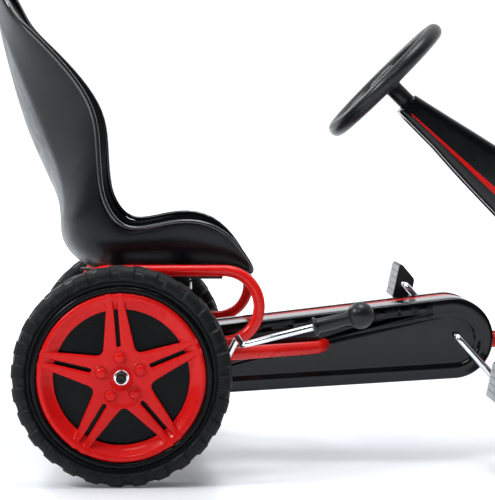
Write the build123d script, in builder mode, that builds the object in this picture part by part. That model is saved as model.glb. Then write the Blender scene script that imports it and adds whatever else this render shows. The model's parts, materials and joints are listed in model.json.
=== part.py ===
from build123d import *
import os
from math import asin, atan2, cos, degrees, pi, radians, sin, sqrt

# Pedal go kart. Millimetres, +X forwards, +Y to the rider's left, +Z up.
# The origin is on the ground, under the middle of the kart's box.
# Side views are drawn on side(y): its own x is measured forwards from the rear axle
# and its own y is the height above the ground.

# ---------------------------------------------------------------- driving dimensions
OVERALL_LENGTH = 980.0
SEAT_OVERHANG = 168.0          # the top of the seat back lies this far behind the rear axle
WHEELBASE = 650.0
REAR_TRACK = 480.0             # between the middle planes of the two wheels
FRONT_TRACK = 480.0
REAR_WHEEL_R = 130.0
FRONT_WHEEL_R = 115.0
REAR_WHEEL_WIDTH = 56.0
FRONT_WHEEL_WIDTH = 50.0
AXLE_R = 6.0
RUNNING = 0.05                 # radial clearance of a turning fit
GAP = 0.3                      # clearance between neighbouring pieces

BEAM_HALF_WIDTH = 21.7
GUARD_WALL = 3.0
GUARD_INNER_Y = 22.0
GUARD_RIGHT_Y = 75.0           # outer face of the right shell, on the chain's side
GUARD_LEFT_Y = 40.0            # outer face of the left cover
GUARD_FRONT = (414.0, 157.6)   # centre of the shells' round front end
GUARD_FRONT_R = 50.0
GUARD_REAR = (-4.0, 121.2)
GUARD_REAR_R = 38.0

CRANK_AXIS = (417.0, 161.5)
CRANK_ARM = 75.0
CRANK_ROD_R = 4.5
CRANK_ANGLE = -48.0            # the right arm points forwards and down at rest
CRANK_RIGHT_Y = -86.0          # planes in which the two arms turn
CRANK_LEFT_Y = 58.0
PEDAL_WIDTH = 86.0
PEDAL_HEIGHT = 36.0
PEDAL_THICKNESS = 20.0
PEDAL_LEAN = 12.0

CHAIN_PITCH = 12.7
CHAIN_Y = -48.0
SPROCKET_TEETH = 10
CHAINRING_TEETH = 16

RAIL_Y = 193.0                 # middle of the side rails and of the seat loops
RAIL_Z = 150.0
RAIL_R = 8.0
LOOP_R = 7.0
LOOP_BEND_R = 43.0
LOOP_Z = 208.0                 # middle height of a seat loop
LOOP_REAR_X = -16.0            # centres of a loop's two round ends
LOOP_FRONT_X = 121.0
TUBE_WALL = 1.5

BRAKE_PIVOT = (117.3, 133.0)
BRAKE_ROD_R = 4.0
BRAKE_INNER_Y = 206.5
BRAKE_OUTER_Y = 262.0

WHEEL_CENTRE = (334.0, 485.0)  # steering wheel's centre
STEER_SLOPE = 44.85            # the column falls forwards at this angle
STEER_RING_R = 87.5
STEER_GRIP_R = 10.0
COLUMN_R = 8.0
STEER_TUBE_R = 15.0
DROP_BALL = (590.0, 179.0)

FRONT_FRAME_Z = 150.0
FRONT_TUBE_R = 11.0
KINGPIN_Y = 165.0
KINGPIN_R = 6.0
STEERING_ARM = 60.0

SEAT_WALL = 4.0

# ---------------------------------------------------------------- derived values
REAR_X = SEAT_OVERHANG - OVERALL_LENGTH / 2
NOSE_X = OVERALL_LENGTH / 2 - REAR_X   # front of the nose, measured from the rear axle
SIDES = {"right": -1, "left": 1}
SPROCKET_R = CHAIN_PITCH / (2 * sin(pi / SPROCKET_TEETH))
CHAINRING_R = CHAIN_PITCH / (2 * sin(pi / CHAINRING_TEETH))

os.makedirs("parts", exist_ok=True)


def save(built, label):
    built.part.label = label
    export_step(built.part, f"parts/{label}.step")


def side(y=0.0):
    return Plane(origin=(REAR_X, y, 0), x_dir=(1, 0, 0), z_dir=(0, -1, 0))


def at(x, y, z):
    return (REAR_X + x, y, z)


def on_circle(centre, radius, angle):
    return (centre[0] + radius * cos(radians(angle)), centre[1] + radius * sin(radians(angle)))


def across(x, z, radius, y_from, y_to, mode=Mode.ADD):
    """A round bar or bore along Y, centred on (x, z) in side view."""
    with BuildSketch(side(y_to)) as section:
        with Locations((x, z)):
            Circle(radius)
    extrude(section.sketch, amount=y_to - y_from, mode=mode)


def upright(x, y, radius, z_from, z_to, mode=Mode.ADD):
    """A round bar or bore along Z."""
    with BuildSketch(Plane.XY.offset(z_from)) as section:
        with Locations((REAR_X + x, y)):
            Circle(radius)
    extrude(section.sketch, amount=z_to - z_from, mode=mode)


def block(x_from, x_to, y_from, y_to, z_from, z_to, mode=Mode.ADD):
    centre = at((x_from + x_to) / 2, (y_from + y_to) / 2, (z_from + z_to) / 2)
    with Locations(centre):
        Box(x_to - x_from, y_to - y_from, z_to - z_from, mode=mode)


def sweep_bar(points, bends, radius, wall=None):
    """A bent bar, or a tube where a wall is given, along points with rounded corners."""
    with BuildLine() as route:
        FilletPolyline(*points, radius=bends)
    start = Plane(origin=route.line @ 0, z_dir=route.line % 0)
    with BuildSketch(start) as section:
        Circle(radius)
        if wall:
            Circle(radius - wall, mode=Mode.SUBTRACT)
    sweep(section.sketch, path=route.line)


def hull_sketch(front_r, rear_r, front, rear):
    """The outline that wraps two circles, as a belt does."""
    with BuildLine() as circles:
        CenterArc(front, front_r, 0, 360)
        CenterArc(rear, rear_r, 0, 360)
    make_hull(circles.edges())


# ---------------------------------------------------------------- frame: beam and front
def guard_top(x):
    """Height of the shells' straight top edge at x."""
    run = GUARD_FRONT[0] - GUARD_REAR[0]
    rise = GUARD_FRONT[1] - GUARD_REAR[1]
    slope = atan2(rise, run) + asin((GUARD_FRONT_R - GUARD_REAR_R) / sqrt(run**2 + rise**2))
    foot_x = GUARD_REAR[0] - GUARD_REAR_R * sin(slope)
    foot_z = GUARD_REAR[1] + GUARD_REAR_R * cos(slope)
    return foot_z + (x - foot_x) * sin(slope) / cos(slope)


BEAM_REAR_X = -44.0
BEAM_UNDER_Z = 138.5           # clears the rear axle
BEAM_OVER_RAIL_Z = RAIL_Z + RAIL_R + 0.2
BEAM_NOSE_R = GUARD_FRONT_R
BEAM_WALL = 2.5
HOUSING_R = 20.0
HOUSING_BORE_R = 15.0


def beam_outline():
    top_end = on_circle(GUARD_FRONT, BEAM_NOSE_R, 97)
    nose_end = on_circle(GUARD_FRONT, BEAM_NOSE_R, 3)
    with BuildLine() as outline:
        Polyline(
            nose_end,
            (nose_end[0], BEAM_UNDER_Z),
            (392, BEAM_UNDER_Z),
            (384, BEAM_OVER_RAIL_Z),
            (250, BEAM_OVER_RAIL_Z),
            (30, BEAM_UNDER_Z),
            (BEAM_REAR_X, BEAM_UNDER_Z),
            (BEAM_REAR_X, guard_top(15)),
            (15, guard_top(15)),
            top_end,
        )
        ThreePointArc(top_end, on_circle(GUARD_FRONT, BEAM_NOSE_R, 50), nose_end)
    make_face(outline.edges())


with BuildPart() as main_beam:
    with BuildSketch(side(BEAM_HALF_WIDTH)):
        beam_outline()
    extrude(amount=2 * BEAM_HALF_WIDTH)
    with BuildSketch(side(BEAM_HALF_WIDTH - BEAM_WALL)):
        beam_outline()
        offset(amount=-BEAM_WALL, mode=Mode.REPLACE)
    extrude(amount=2 * (BEAM_HALF_WIDTH - BEAM_WALL), mode=Mode.SUBTRACT)
    across(*CRANK_AXIS, HOUSING_R, -BEAM_HALF_WIDTH, BEAM_HALF_WIDTH)
    across(*CRANK_AXIS, HOUSING_BORE_R, -BEAM_HALF_WIDTH, BEAM_HALF_WIDTH, Mode.SUBTRACT)
save(main_beam, "main_beam")

AXLE_BEAM_R = 12.5
SLEEVE_R = 11.0
SLEEVE_Z = (128.0, 168.0)
FRONT_TUBE_START = GUARD_FRONT[0] + BEAM_NOSE_R
NOSE_TAB_X = 706.0

with BuildPart() as front_frame:
    with BuildSketch(Plane.YZ.offset(REAR_X + FRONT_TUBE_START)):
        with Locations((0, FRONT_FRAME_Z)):
            Circle(FRONT_TUBE_R)
    extrude(amount=WHEELBASE - FRONT_TUBE_START)
    across(WHEELBASE, FRONT_FRAME_Z, AXLE_BEAM_R, -KINGPIN_Y, KINGPIN_Y)
    for turn in SIDES.values():
        upright(WHEELBASE, turn * KINGPIN_Y, SLEEVE_R, *SLEEVE_Z)
    block(WHEELBASE, NOSE_TAB_X, -20, 20, FRONT_FRAME_Z - 2, FRONT_FRAME_Z + 2)
    with BuildSketch(Plane.YZ.offset(REAR_X + FRONT_TUBE_START)):
        with Locations((0, FRONT_FRAME_Z)):
            Circle(FRONT_TUBE_R - 2)
    extrude(amount=WHEELBASE - FRONT_TUBE_START - AXLE_BEAM_R - 4, mode=Mode.SUBTRACT)
    inner_y = KINGPIN_Y - SLEEVE_R - 4
    across(WHEELBASE, FRONT_FRAME_Z, AXLE_BEAM_R - 2, -inner_y, inner_y, Mode.SUBTRACT)
    for turn in SIDES.values():
        upright(WHEELBASE, turn * KINGPIN_Y, KINGPIN_R + RUNNING, *SLEEVE_Z, Mode.SUBTRACT)
save(front_frame, "front_frame")

# ---------------------------------------------------------------- frame: rear
CROSS_MEMBER_HALF = 11.0

with BuildPart() as cross_member:
    cross_x = BEAM_REAR_X - CROSS_MEMBER_HALF
    half_length = RAIL_Y - RAIL_R
    for half, mode in ((CROSS_MEMBER_HALF, Mode.ADD), (CROSS_MEMBER_HALF - 2, Mode.SUBTRACT)):
        block(cross_x - half, cross_x + half, -half_length, half_length,
              RAIL_Z - half, RAIL_Z + half, mode)
    fillet(cross_member.edges().filter_by(Axis.Y).group_by(SortBy.DISTANCE)[-1], 2)
save(cross_member, "cross_member")

RAIL_REAR_X = -66.0
RAIL_KNEE_X = 122.0
RAIL_ELBOW = (240.0, -108.0)
RAIL_JOIN_X = 250.0

with BuildPart() as side_rail_right:
    sweep_bar(
        [
            at(RAIL_REAR_X, -RAIL_Y, RAIL_Z),
            at(RAIL_KNEE_X, -RAIL_Y, RAIL_Z),
            at(RAIL_ELBOW[0], RAIL_ELBOW[1], RAIL_Z),
            at(RAIL_JOIN_X, -GUARD_RIGHT_Y, RAIL_Z),
            at(RAIL_JOIN_X, 0, RAIL_Z),
        ],
        [60, 18, 22],
        RAIL_R,
        TUBE_WALL,
    )
save(side_rail_right, "side_rail_right")

with BuildPart() as side_rail_left:
    mirror(side_rail_right.part, about=Plane.XZ)
save(side_rail_left, "side_rail_left")

for name, turn in SIDES.items():
    with BuildPart() as seat_loop:
        y = turn * RAIL_Y
        with BuildLine(side(y)) as loop_line:
            top = LOOP_Z + LOOP_BEND_R
            bottom = LOOP_Z - LOOP_BEND_R
            Line((0, top), (LOOP_FRONT_X, top))
            ThreePointArc((LOOP_FRONT_X, top), (LOOP_FRONT_X + LOOP_BEND_R, LOOP_Z),
                          (LOOP_FRONT_X, bottom))
            Line((LOOP_FRONT_X, bottom), (LOOP_REAR_X, bottom))
            ThreePointArc((LOOP_REAR_X, bottom), (LOOP_REAR_X - LOOP_BEND_R, LOOP_Z),
                          (LOOP_REAR_X, top))
            Line((LOOP_REAR_X, top), (0, top))
        with BuildSketch(Plane(origin=at(0, y, LOOP_Z + LOOP_BEND_R), z_dir=(1, 0, 0))):
            Circle(LOOP_R)
            Circle(LOOP_R - TUBE_WALL, mode=Mode.SUBTRACT)
        sweep(path=loop_line.line)
    save(seat_loop, f"seat_loop_{name}")

HANGER_HALF = 3.0
HANGER_TOP_Z = RAIL_Z - RAIL_R
AXLE_Z = REAR_WHEEL_R
BUSH_R = 10.0

with BuildPart() as axle_hangers:
    for turn in SIDES.values():
        with BuildSketch(side(turn * RAIL_Y + HANGER_HALF)):
            with BuildLine():
                Polyline((-22, HANGER_TOP_Z), (128, HANGER_TOP_Z), (128, 127), (110, 125),
                         (24, 127), (14, 112), (-14, 112), (-22, 124), close=True)
            make_face()
            with Locations((0, AXLE_Z)):
                Circle(BUSH_R, mode=Mode.SUBTRACT)
            with Locations(BRAKE_PIVOT):
                Circle(BRAKE_ROD_R + RUNNING, mode=Mode.SUBTRACT)
        extrude(amount=2 * HANGER_HALF)
save(axle_hangers, "axle_hangers")

with BuildPart() as axle_bushes:
    for turn in SIDES.values():
        y = turn * RAIL_Y
        across(0, AXLE_Z, BUSH_R, y - 6, y + 6)
        across(0, AXLE_Z, BUSH_R + 2, y + HANGER_HALF, y + HANGER_HALF + 2)
        across(0, AXLE_Z, AXLE_R + RUNNING, y - 10, y + 10, Mode.SUBTRACT)
save(axle_bushes, "axle_bushes")

# ---------------------------------------------------------------- drive train
AXLE_END_Y = 278.0
NUT_R = 7.6


def sprocket(teeth, pitch_r, centre, hub_r, bore_r, windows):
    """A toothed plate with its hub, in the chain's plane."""
    with BuildSketch(side(CHAIN_Y + 1.1)) as plate:
        with Locations(centre):
            Circle(pitch_r + 2.6)
            with PolarLocations(pitch_r, teeth):
                Circle(4.1, mode=Mode.SUBTRACT)
            if windows:
                with PolarLocations((hub_r + pitch_r - 5) / 2, windows):
                    Circle((pitch_r - 5 - hub_r) / 2 - 2, mode=Mode.SUBTRACT)
    extrude(plate.sketch, amount=2.2)
    across(*centre, hub_r, CHAIN_Y - 9, CHAIN_Y + 9)
    across(*centre, bore_r, CHAIN_Y - 9, CHAIN_Y + 9, Mode.SUBTRACT)


with BuildPart() as rear_axle:
    across(0, AXLE_Z, AXLE_R, -AXLE_END_Y, AXLE_END_Y)
    chamfer(rear_axle.faces().sort_by(Axis.Y)[0].edges(), 0.8)
    chamfer(rear_axle.faces().sort_by(Axis.Y)[-1].edges(), 0.8)
save(rear_axle, "rear_axle")

with BuildPart() as rear_sprocket:
    sprocket(SPROCKET_TEETH, SPROCKET_R, (0, AXLE_Z), 11, AXLE_R, 0)
save(rear_sprocket, "rear_sprocket")

with BuildPart() as chainring:
    sprocket(CHAINRING_TEETH, CHAINRING_R, CRANK_AXIS, 10, CRANK_ROD_R, 5)
save(chainring, "chainring")

CHAIN_HALF_HEIGHT = 4.2
CHAIN_PLATE = 1.0
CHAIN_PLATE_Y = 2.6            # inner face of each row of plates, from the chain's middle
CHAIN_CLEAR = 48.0             # rollers stay this far from both axes

with BuildPart() as chain:
    rear_centre = (0, AXLE_Z)
    for near in (CHAIN_Y + CHAIN_PLATE_Y + CHAIN_PLATE, CHAIN_Y - CHAIN_PLATE_Y):
        with BuildSketch(side(near)) as plates:
            hull_sketch(CHAINRING_R + CHAIN_HALF_HEIGHT, SPROCKET_R + CHAIN_HALF_HEIGHT,
                        CRANK_AXIS, rear_centre)
        extrude(amount=CHAIN_PLATE)
        with BuildSketch(side(near)) as inside:
            hull_sketch(CHAINRING_R - CHAIN_HALF_HEIGHT, SPROCKET_R - CHAIN_HALF_HEIGHT,
                        CRANK_AXIS, rear_centre)
        extrude(amount=CHAIN_PLATE, mode=Mode.SUBTRACT)
    run = (CRANK_AXIS[0], CRANK_AXIS[1] - AXLE_Z)
    distance = sqrt(run[0] ** 2 + run[1] ** 2)
    heading = degrees(atan2(run[1], run[0]))
    spread = degrees(asin((CHAINRING_R - SPROCKET_R) / distance))
    rollers = int((distance - 2 * CHAIN_CLEAR) / CHAIN_PITCH)
    for angle in (heading + 90 + spread, heading - 90 - spread):
        start = on_circle(rear_centre, SPROCKET_R, angle)
        stop = on_circle(CRANK_AXIS, CHAINRING_R, angle)
        for step in range(rollers + 1):
            share = (CHAIN_CLEAR + step * CHAIN_PITCH) / distance
            x = start[0] + share * (stop[0] - start[0])
            z = start[1] + share * (stop[1] - start[1])
            across(x, z, 3.4, CHAIN_Y - CHAIN_PLATE_Y, CHAIN_Y + CHAIN_PLATE_Y)
save(chain, "chain")


def hex_nut(x, z, y_from, y_to, across_corners_r, bore_r):
    with BuildSketch(side(max(y_from, y_to))) as hexagon:
        with Locations((x, z)):
            RegularPolygon(across_corners_r, 6)
    extrude(hexagon.sketch, amount=abs(y_to - y_from))
    across(x, z, bore_r, min(y_from, y_to), max(y_from, y_to), Mode.SUBTRACT)


with BuildPart() as rear_axle_nuts:
    for turn in SIDES.values():
        hex_nut(0, AXLE_Z, turn * 260.3, turn * 268, NUT_R + 1.2, AXLE_R)
save(rear_axle_nuts, "rear_axle_nuts")

# ---------------------------------------------------------------- crank and pedals
PEDAL_GAP = 3.0
SPINDLE_PAST = 6.0


def arm_end(turn):
    """End of the right (-1) or left (+1) crank arm in side view."""
    angle = CRANK_ANGLE if turn < 0 else CRANK_ANGLE + 180
    return on_circle(CRANK_AXIS, CRANK_ARM, angle)


def pedal_span(turn):
    """The pedal's inner and outer ends along Y."""
    plane_y = CRANK_RIGHT_Y if turn < 0 else CRANK_LEFT_Y
    inner = plane_y + turn * (CRANK_ROD_R + PEDAL_GAP + 6)
    return inner, inner + turn * PEDAL_WIDTH


right_end = arm_end(-1)
left_end = arm_end(1)
with BuildPart() as crank:
    sweep_bar(
        [
            at(right_end[0], pedal_span(-1)[1] - SPINDLE_PAST, right_end[1]),
            at(right_end[0], CRANK_RIGHT_Y, right_end[1]),
            at(CRANK_AXIS[0], CRANK_RIGHT_Y, CRANK_AXIS[1]),
            at(CRANK_AXIS[0], CRANK_LEFT_Y, CRANK_AXIS[1]),
            at(left_end[0], CRANK_LEFT_Y, left_end[1]),
            at(left_end[0], pedal_span(1)[1] + SPINDLE_PAST, left_end[1]),
        ],
        9,
        CRANK_ROD_R,
    )
save(crank, "crank")

with BuildPart() as crank_bushes:
    for y in (-BEAM_HALF_WIDTH, BEAM_HALF_WIDTH - 12):
        across(*CRANK_AXIS, HOUSING_BORE_R, y, y + 12)
        across(*CRANK_AXIS, CRANK_ROD_R + RUNNING, y, y + 12, Mode.SUBTRACT)
save(crank_bushes, "crank_bushes")

with BuildPart() as pedal_caps:
    for turn in SIDES.values():
        outer = pedal_span(turn)[1]
        x, z = arm_end(turn)
        near, far = sorted((outer + turn * 0.6, outer + turn * SPINDLE_PAST))
        across(x, z, 7.5, near, far)
        across(x, z, CRANK_ROD_R, near, far, Mode.SUBTRACT)
save(pedal_caps, "pedal_caps")

TREAD_DEPTH = 1.6

for name, turn in SIDES.items():
    x, z = arm_end(turn)
    inner, outer = pedal_span(turn)
    middle_y = (inner + outer) / 2
    lean = Plane(origin=at(x, middle_y, z), x_dir=(0, 1, 0),
                 z_dir=(-cos(radians(PEDAL_LEAN)), 0, sin(radians(PEDAL_LEAN))))
    half = PEDAL_THICKNESS / 2 - TREAD_DEPTH
    with BuildPart() as pedal:
        with BuildSketch(lean.offset(-half)):
            RectangleRounded(PEDAL_WIDTH, PEDAL_HEIGHT, 3)
        extrude(amount=2 * half)
        fillet(pedal.faces().sort_by(Axis((0, 0, 0), tuple(lean.z_dir)))[-1].edges(), 1.0)
        across(x, z, CRANK_ROD_R + RUNNING, min(inner, outer), max(inner, outer), Mode.SUBTRACT)
    save(pedal, f"pedal_{name}")
    with BuildPart() as pedal_tread:
        for start, depth in ((half, TREAD_DEPTH), (-half, -TREAD_DEPTH)):
            with BuildSketch(lean.offset(start)):
                RectangleRounded(PEDAL_WIDTH - 6, PEDAL_HEIGHT - 5, 2)
                with GridLocations(9, 8, 8, 3):
                    Rectangle(5, 3.6, mode=Mode.SUBTRACT)
            extrude(amount=depth)
    save(pedal_tread, f"pedal_tread_{name}")

# ---------------------------------------------------------------- chain guard
GUARD_RECESS = 14.0            # the pressed panel starts this far inside the outline
RECESS_DEPTH = 1.5
RIDGE_HEIGHTS = (-14.0, 2.0, 17.0)   # of the panel's ridges, from the shells' middle line


def guard_hull(inset):
    hull_sketch(GUARD_FRONT_R - inset, GUARD_REAR_R - inset, GUARD_FRONT, GUARD_REAR)


def guard_holes(y_from, y_to):
    across(0, AXLE_Z, AXLE_R + 3, y_from, y_to, Mode.SUBTRACT)
    across(*BRAKE_PIVOT, BRAKE_ROD_R + 2, y_from, y_to, Mode.SUBTRACT)
    across(RAIL_JOIN_X, RAIL_Z, RAIL_R + 1, y_from, y_to, Mode.SUBTRACT)
    across(*CRANK_AXIS, CRANK_ROD_R + 2, y_from, y_to, Mode.SUBTRACT)


with BuildPart() as chain_guard_right:
    with BuildSketch(side(-GUARD_INNER_Y)):
        guard_hull(0)
    extrude(amount=GUARD_RIGHT_Y - GUARD_INNER_Y)
    fillet(chain_guard_right.faces().sort_by(Axis.Y)[0].edges(), 5)
    with BuildSketch(side(-GUARD_INNER_Y)):
        guard_hull(GUARD_WALL)
    extrude(amount=GUARD_RIGHT_Y - GUARD_INNER_Y - GUARD_WALL, mode=Mode.SUBTRACT)
    with BuildSketch(side(RECESS_DEPTH - GUARD_RIGHT_Y)):
        guard_hull(GUARD_RECESS)
        for height in RIDGE_HEIGHTS:
            with Locations(Location((205, 139.5 + height), 4.9)):
                SlotOverall(330, 5, mode=Mode.SUBTRACT)
    extrude(amount=RECESS_DEPTH, mode=Mode.SUBTRACT)
    guard_holes(-GUARD_RIGHT_Y, -GUARD_INNER_Y)
save(chain_guard_right, "chain_guard_right")

with BuildPart() as chain_guard_left:
    with BuildSketch(side(GUARD_LEFT_Y)):
        guard_hull(0)
    extrude(amount=GUARD_LEFT_Y - GUARD_INNER_Y)
    fillet(chain_guard_left.faces().sort_by(Axis.Y)[-1].edges(), 5)
    with BuildSketch(side(GUARD_LEFT_Y - GUARD_WALL)):
        guard_hull(GUARD_WALL)
    extrude(amount=GUARD_LEFT_Y - GUARD_WALL - GUARD_INNER_Y, mode=Mode.SUBTRACT)
    with BuildSketch(side(GUARD_LEFT_Y)):
        guard_hull(GUARD_RECESS)
    extrude(amount=RECESS_DEPTH, mode=Mode.SUBTRACT)
    guard_holes(GUARD_INNER_Y, GUARD_LEFT_Y)
save(chain_guard_left, "chain_guard_left")

with BuildPart() as guard_screws:
    for x, z in ((40, 132), (200, 140), (330, 150), (440, 140)):
        across(x, z, 4.5, GUARD_LEFT_Y - RECESS_DEPTH, GUARD_LEFT_Y + 1)
        across(x, z, 1.2, GUARD_LEFT_Y - 0.5, GUARD_LEFT_Y + 1, Mode.SUBTRACT)
save(guard_screws, "guard_screws")


# ---------------------------------------------------------------- wheels
WHEEL_BORE = {"rear_right": AXLE_R}
SPOKES = 5
SPOKE_LEAN = 4.5               # the top spoke leans rearwards
RIM_R = 99.0                   # of the rear wheel; every radius scales with the wheel
WINDOW_R = 80.0
WINDOW_APEX_R = 33.0
SPOKE_HALF_WIDTH = 12.0
BOLT_CIRCLE_R = 24.0
BOLT_R = 6.6


def wheel_profile(x, y, z, turn):
    """Local x runs outwards along the axle, local y is the radius."""
    return Plane(origin=at(x, y, z), x_dir=(0, turn, 0), z_dir=(turn, 0, 0))


def spin_profile(plane, points, axis):
    with BuildSketch(plane) as profile:
        with BuildLine():
            Polyline(*points, close=True)
        make_face()
    revolve(profile.sketch, axis=axis, revolution_arc=360)


def build_wheel(place, x, turn, radius, width, y):
    k = radius / REAR_WHEEL_R
    h = width / 2
    plane = wheel_profile(x, y, radius, turn)
    axis = Axis(at(x, y, radius), (0, 1, 0))
    bore_r = WHEEL_BORE.get(place, AXLE_R + RUNNING)

    with BuildPart() as tyre:
        spin_profile(plane, [
            (-h + 3, 100 * k), (h - 3, 100 * k), (h, 104 * k), (h, 111 * k), (h - 1.5, 117 * k),
            (h - 3, 125 * k), (h - 8, radius), (8 - h, radius), (3 - h, 125 * k),
            (1.5 - h, 117 * k), (-h, 111 * k), (-h, 104 * k)], axis)
    save(tyre, f"{place}_tyre")

    with BuildPart() as core:
        spin_profile(plane, [
            (-h, bore_r), (h - 8.5, bore_r), (h - 8.5, 16 * k), (h - 18, 18 * k),
            (h - 18, 93 * k), (h - 6.5, 93 * k), (h - 6.5, 99.7 * k), (3 - h, 99.7 * k),
            (3 - h, 94 * k), (h - 21, 94 * k), (h - 21, 18 * k), (-h, 16 * k)], axis)
    save(core, f"{place}_wheel_core")

    with BuildPart() as cover:
        spin_profile(plane, [
            (h - 8.2, 9 * k), (h - 4.5, 9 * k), (h - 4.5, 31 * k), (h - 3.5, 37 * k),
            (h - 4.5, 78 * k), (h - 1.5, 84 * k), (h, 92 * k), (h - 1, 98 * k),
            (h - 3.2, 99.5 * k), (h - 6.2, 99.5 * k), (h - 6.2, 90 * k), (h - 8.2, 80 * k)], axis)
        face_plane = Plane(origin=at(x, y + turn * h, radius), x_dir=(1, 0, 0), z_dir=(0, -1, 0))
        apex = WINDOW_APEX_R * k
        reach = WINDOW_R * k
        edge = degrees(asin(SPOKE_HALF_WIDTH / WINDOW_R))
        with BuildSketch(face_plane):
            for spoke in range(SPOKES):
                start = 90 + SPOKE_LEAN + 72 * spoke
                middle = on_circle((0, 0), apex, start + 36)
                first = on_circle((0, 0), reach, start + edge)
                last = on_circle((0, 0), reach, start + 72 - edge)
                with BuildSketch(mode=Mode.PRIVATE) as window:
                    with BuildLine():
                        Line(middle, first)
                        ThreePointArc(first, on_circle((0, 0), reach, start + 36), last)
                        Line(last, middle)
                    make_face()
                    fillet(window.vertices(), 4 * k)
                add(window.sketch)
        extrude(amount=width, both=True, mode=Mode.SUBTRACT)
        with BuildSketch(face_plane):
            for spoke in range(SPOKES):
                angle = 90 + SPOKE_LEAN + 72 * spoke
                centre = on_circle((0, 0), 62 * k, angle)
                with Locations(Location(centre, angle)):
                    SlotOverall(54 * k, 6 * k)
        if turn < 0:
            extrude(amount=-6, mode=Mode.SUBTRACT)
        else:
            extrude(amount=6, mode=Mode.SUBTRACT)
    save(cover, f"{place}_wheel_cover")

    with BuildPart() as bolts:
        for spoke in range(SPOKES):
            angle = 90 + SPOKE_LEAN + 72 * spoke
            bx, bz = on_circle((x, radius), BOLT_CIRCLE_R * k, angle)
            near, far = sorted((y + turn * (h - 4.5), y + turn * (h - 1.5)))
            across(bx, bz, BOLT_R * k, near, far)
        outer = bolts.faces().sort_by(Axis.Y)[-5:] if turn > 0 else bolts.faces().sort_by(Axis.Y)[:5]
        fillet([e for f in outer for e in f.edges()], 1.2)
    save(bolts, f"{place}_cover_bolts")


for name, turn in SIDES.items():
    build_wheel(f"rear_{name}", 0, turn, REAR_WHEEL_R, REAR_WHEEL_WIDTH, turn * REAR_TRACK / 2)
    build_wheel(f"front_{name}", WHEELBASE, turn, FRONT_WHEEL_R, FRONT_WHEEL_WIDTH,
                turn * FRONT_TRACK / 2)


# ---------------------------------------------------------------- steering
def along_column(distance):
    """Point on the column's axis, at a distance below the steering wheel's centre."""
    angle = radians(STEER_SLOPE)
    return (WHEEL_CENTRE[0] + distance * cos(angle), WHEEL_CENTRE[1] - distance * sin(angle))


def column_plane(distance):
    x, z = along_column(distance)
    angle = radians(STEER_SLOPE)
    return Plane(origin=at(x, 0, z), x_dir=(0, 1, 0), z_dir=(cos(angle), 0, -sin(angle)))


def column_bar(radius, d_from, d_to, mode=Mode.ADD):
    with BuildSketch(column_plane(d_from)) as section:
        Circle(radius)
    extrude(section.sketch, amount=d_to - d_from, mode=mode)


def ball_foot():
    """How far down the column the drop arm's ball is abreast."""
    angle = radians(STEER_SLOPE)
    dx = DROP_BALL[0] - WHEEL_CENTRE[0]
    dz = DROP_BALL[1] - WHEEL_CENTRE[1]
    return dx * cos(angle) - dz * sin(angle)


TUBE_FROM = 50.0
TUBE_TO = 370.0
TUBE_BORE_R = 12.0
COLUMN_TO = 420.0
COLLAR_R = 11.0
HUB_R = 21.0
HUB_BELOW = 16.0

with BuildPart() as steering_rim:
    plane = column_plane(0)
    with BuildSketch(Plane(origin=plane.origin + plane.x_dir * STEER_RING_R,
                           x_dir=plane.x_dir, z_dir=plane.y_dir)):
        Circle(STEER_GRIP_R)
    revolve(axis=Axis(plane.origin, plane.z_dir), revolution_arc=360)
save(steering_rim, "steering_rim")

with BuildPart() as steering_hub:
    column_bar(HUB_R, -9, HUB_BELOW)
    with BuildSketch(column_plane(-2)):
        for angle in (0, 180, -90):
            with Locations(Location((0, 0), angle)):
                with Locations(((HUB_R + STEER_RING_R - STEER_GRIP_R) / 2, 0)):
                    Rectangle(STEER_RING_R - STEER_GRIP_R - HUB_R + 6, 24)
    extrude(amount=7)
    plane = column_plane(0)
    with BuildSketch(Plane(origin=plane.origin + plane.x_dir * STEER_RING_R,
                           x_dir=plane.x_dir, z_dir=plane.y_dir)):
        Circle(STEER_GRIP_R)
    revolve(axis=Axis(plane.origin, plane.z_dir), revolution_arc=360, mode=Mode.SUBTRACT)
    column_bar(COLUMN_R, 0, HUB_BELOW, Mode.SUBTRACT)
save(steering_hub, "steering_hub")

with BuildPart() as steering_column:
    column_bar(COLUMN_R, 0, COLUMN_TO)
    column_bar(COLLAR_R, HUB_BELOW, TUBE_FROM - 2.5)
    foot = ball_foot()
    column_bar(14, foot - 9, foot + 9)
    foot_x, foot_z = along_column(foot)
    reach = (DROP_BALL[0] - foot_x, DROP_BALL[1] - foot_z)
    length = sqrt(reach[0] ** 2 + reach[1] ** 2)
    neck_plane = Plane(origin=at(foot_x, 0, foot_z), z_dir=(reach[0], 0, reach[1]))
    with BuildSketch(neck_plane):
        Circle(4.5)
    extrude(amount=length)
    with Locations(at(DROP_BALL[0], 0, DROP_BALL[1])):
        Sphere(6)
save(steering_column, "steering_column")

with BuildPart() as column_bushes:
    for start, flange in ((TUBE_FROM, TUBE_FROM - 2), (TUBE_TO - 15, TUBE_TO)):
        column_bar(TUBE_BORE_R, start, start + 15)
        column_bar(STEER_TUBE_R, flange, flange + 2)
    column_bar(COLUMN_R + RUNNING, TUBE_FROM - 5, TUBE_TO + 5, Mode.SUBTRACT)
save(column_bushes, "column_bushes")

GUSSET_INNER_Y = FRONT_TUBE_R
GUSSET_WALL = 4.0

with BuildPart() as steering_tube:
    column_bar(STEER_TUBE_R, TUBE_FROM, TUBE_TO)
    for start in (GUSSET_INNER_Y + GUSSET_WALL, -GUSSET_INNER_Y):
        with BuildSketch(side(start)):
            with BuildLine():
                Polyline((488, 142), (556, 142), (556, 262), (512, 310), close=True)
            make_face()
        extrude(amount=GUSSET_WALL)
    column_bar(TUBE_BORE_R, TUBE_FROM, TUBE_TO, Mode.SUBTRACT)
save(steering_tube, "steering_tube")

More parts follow.
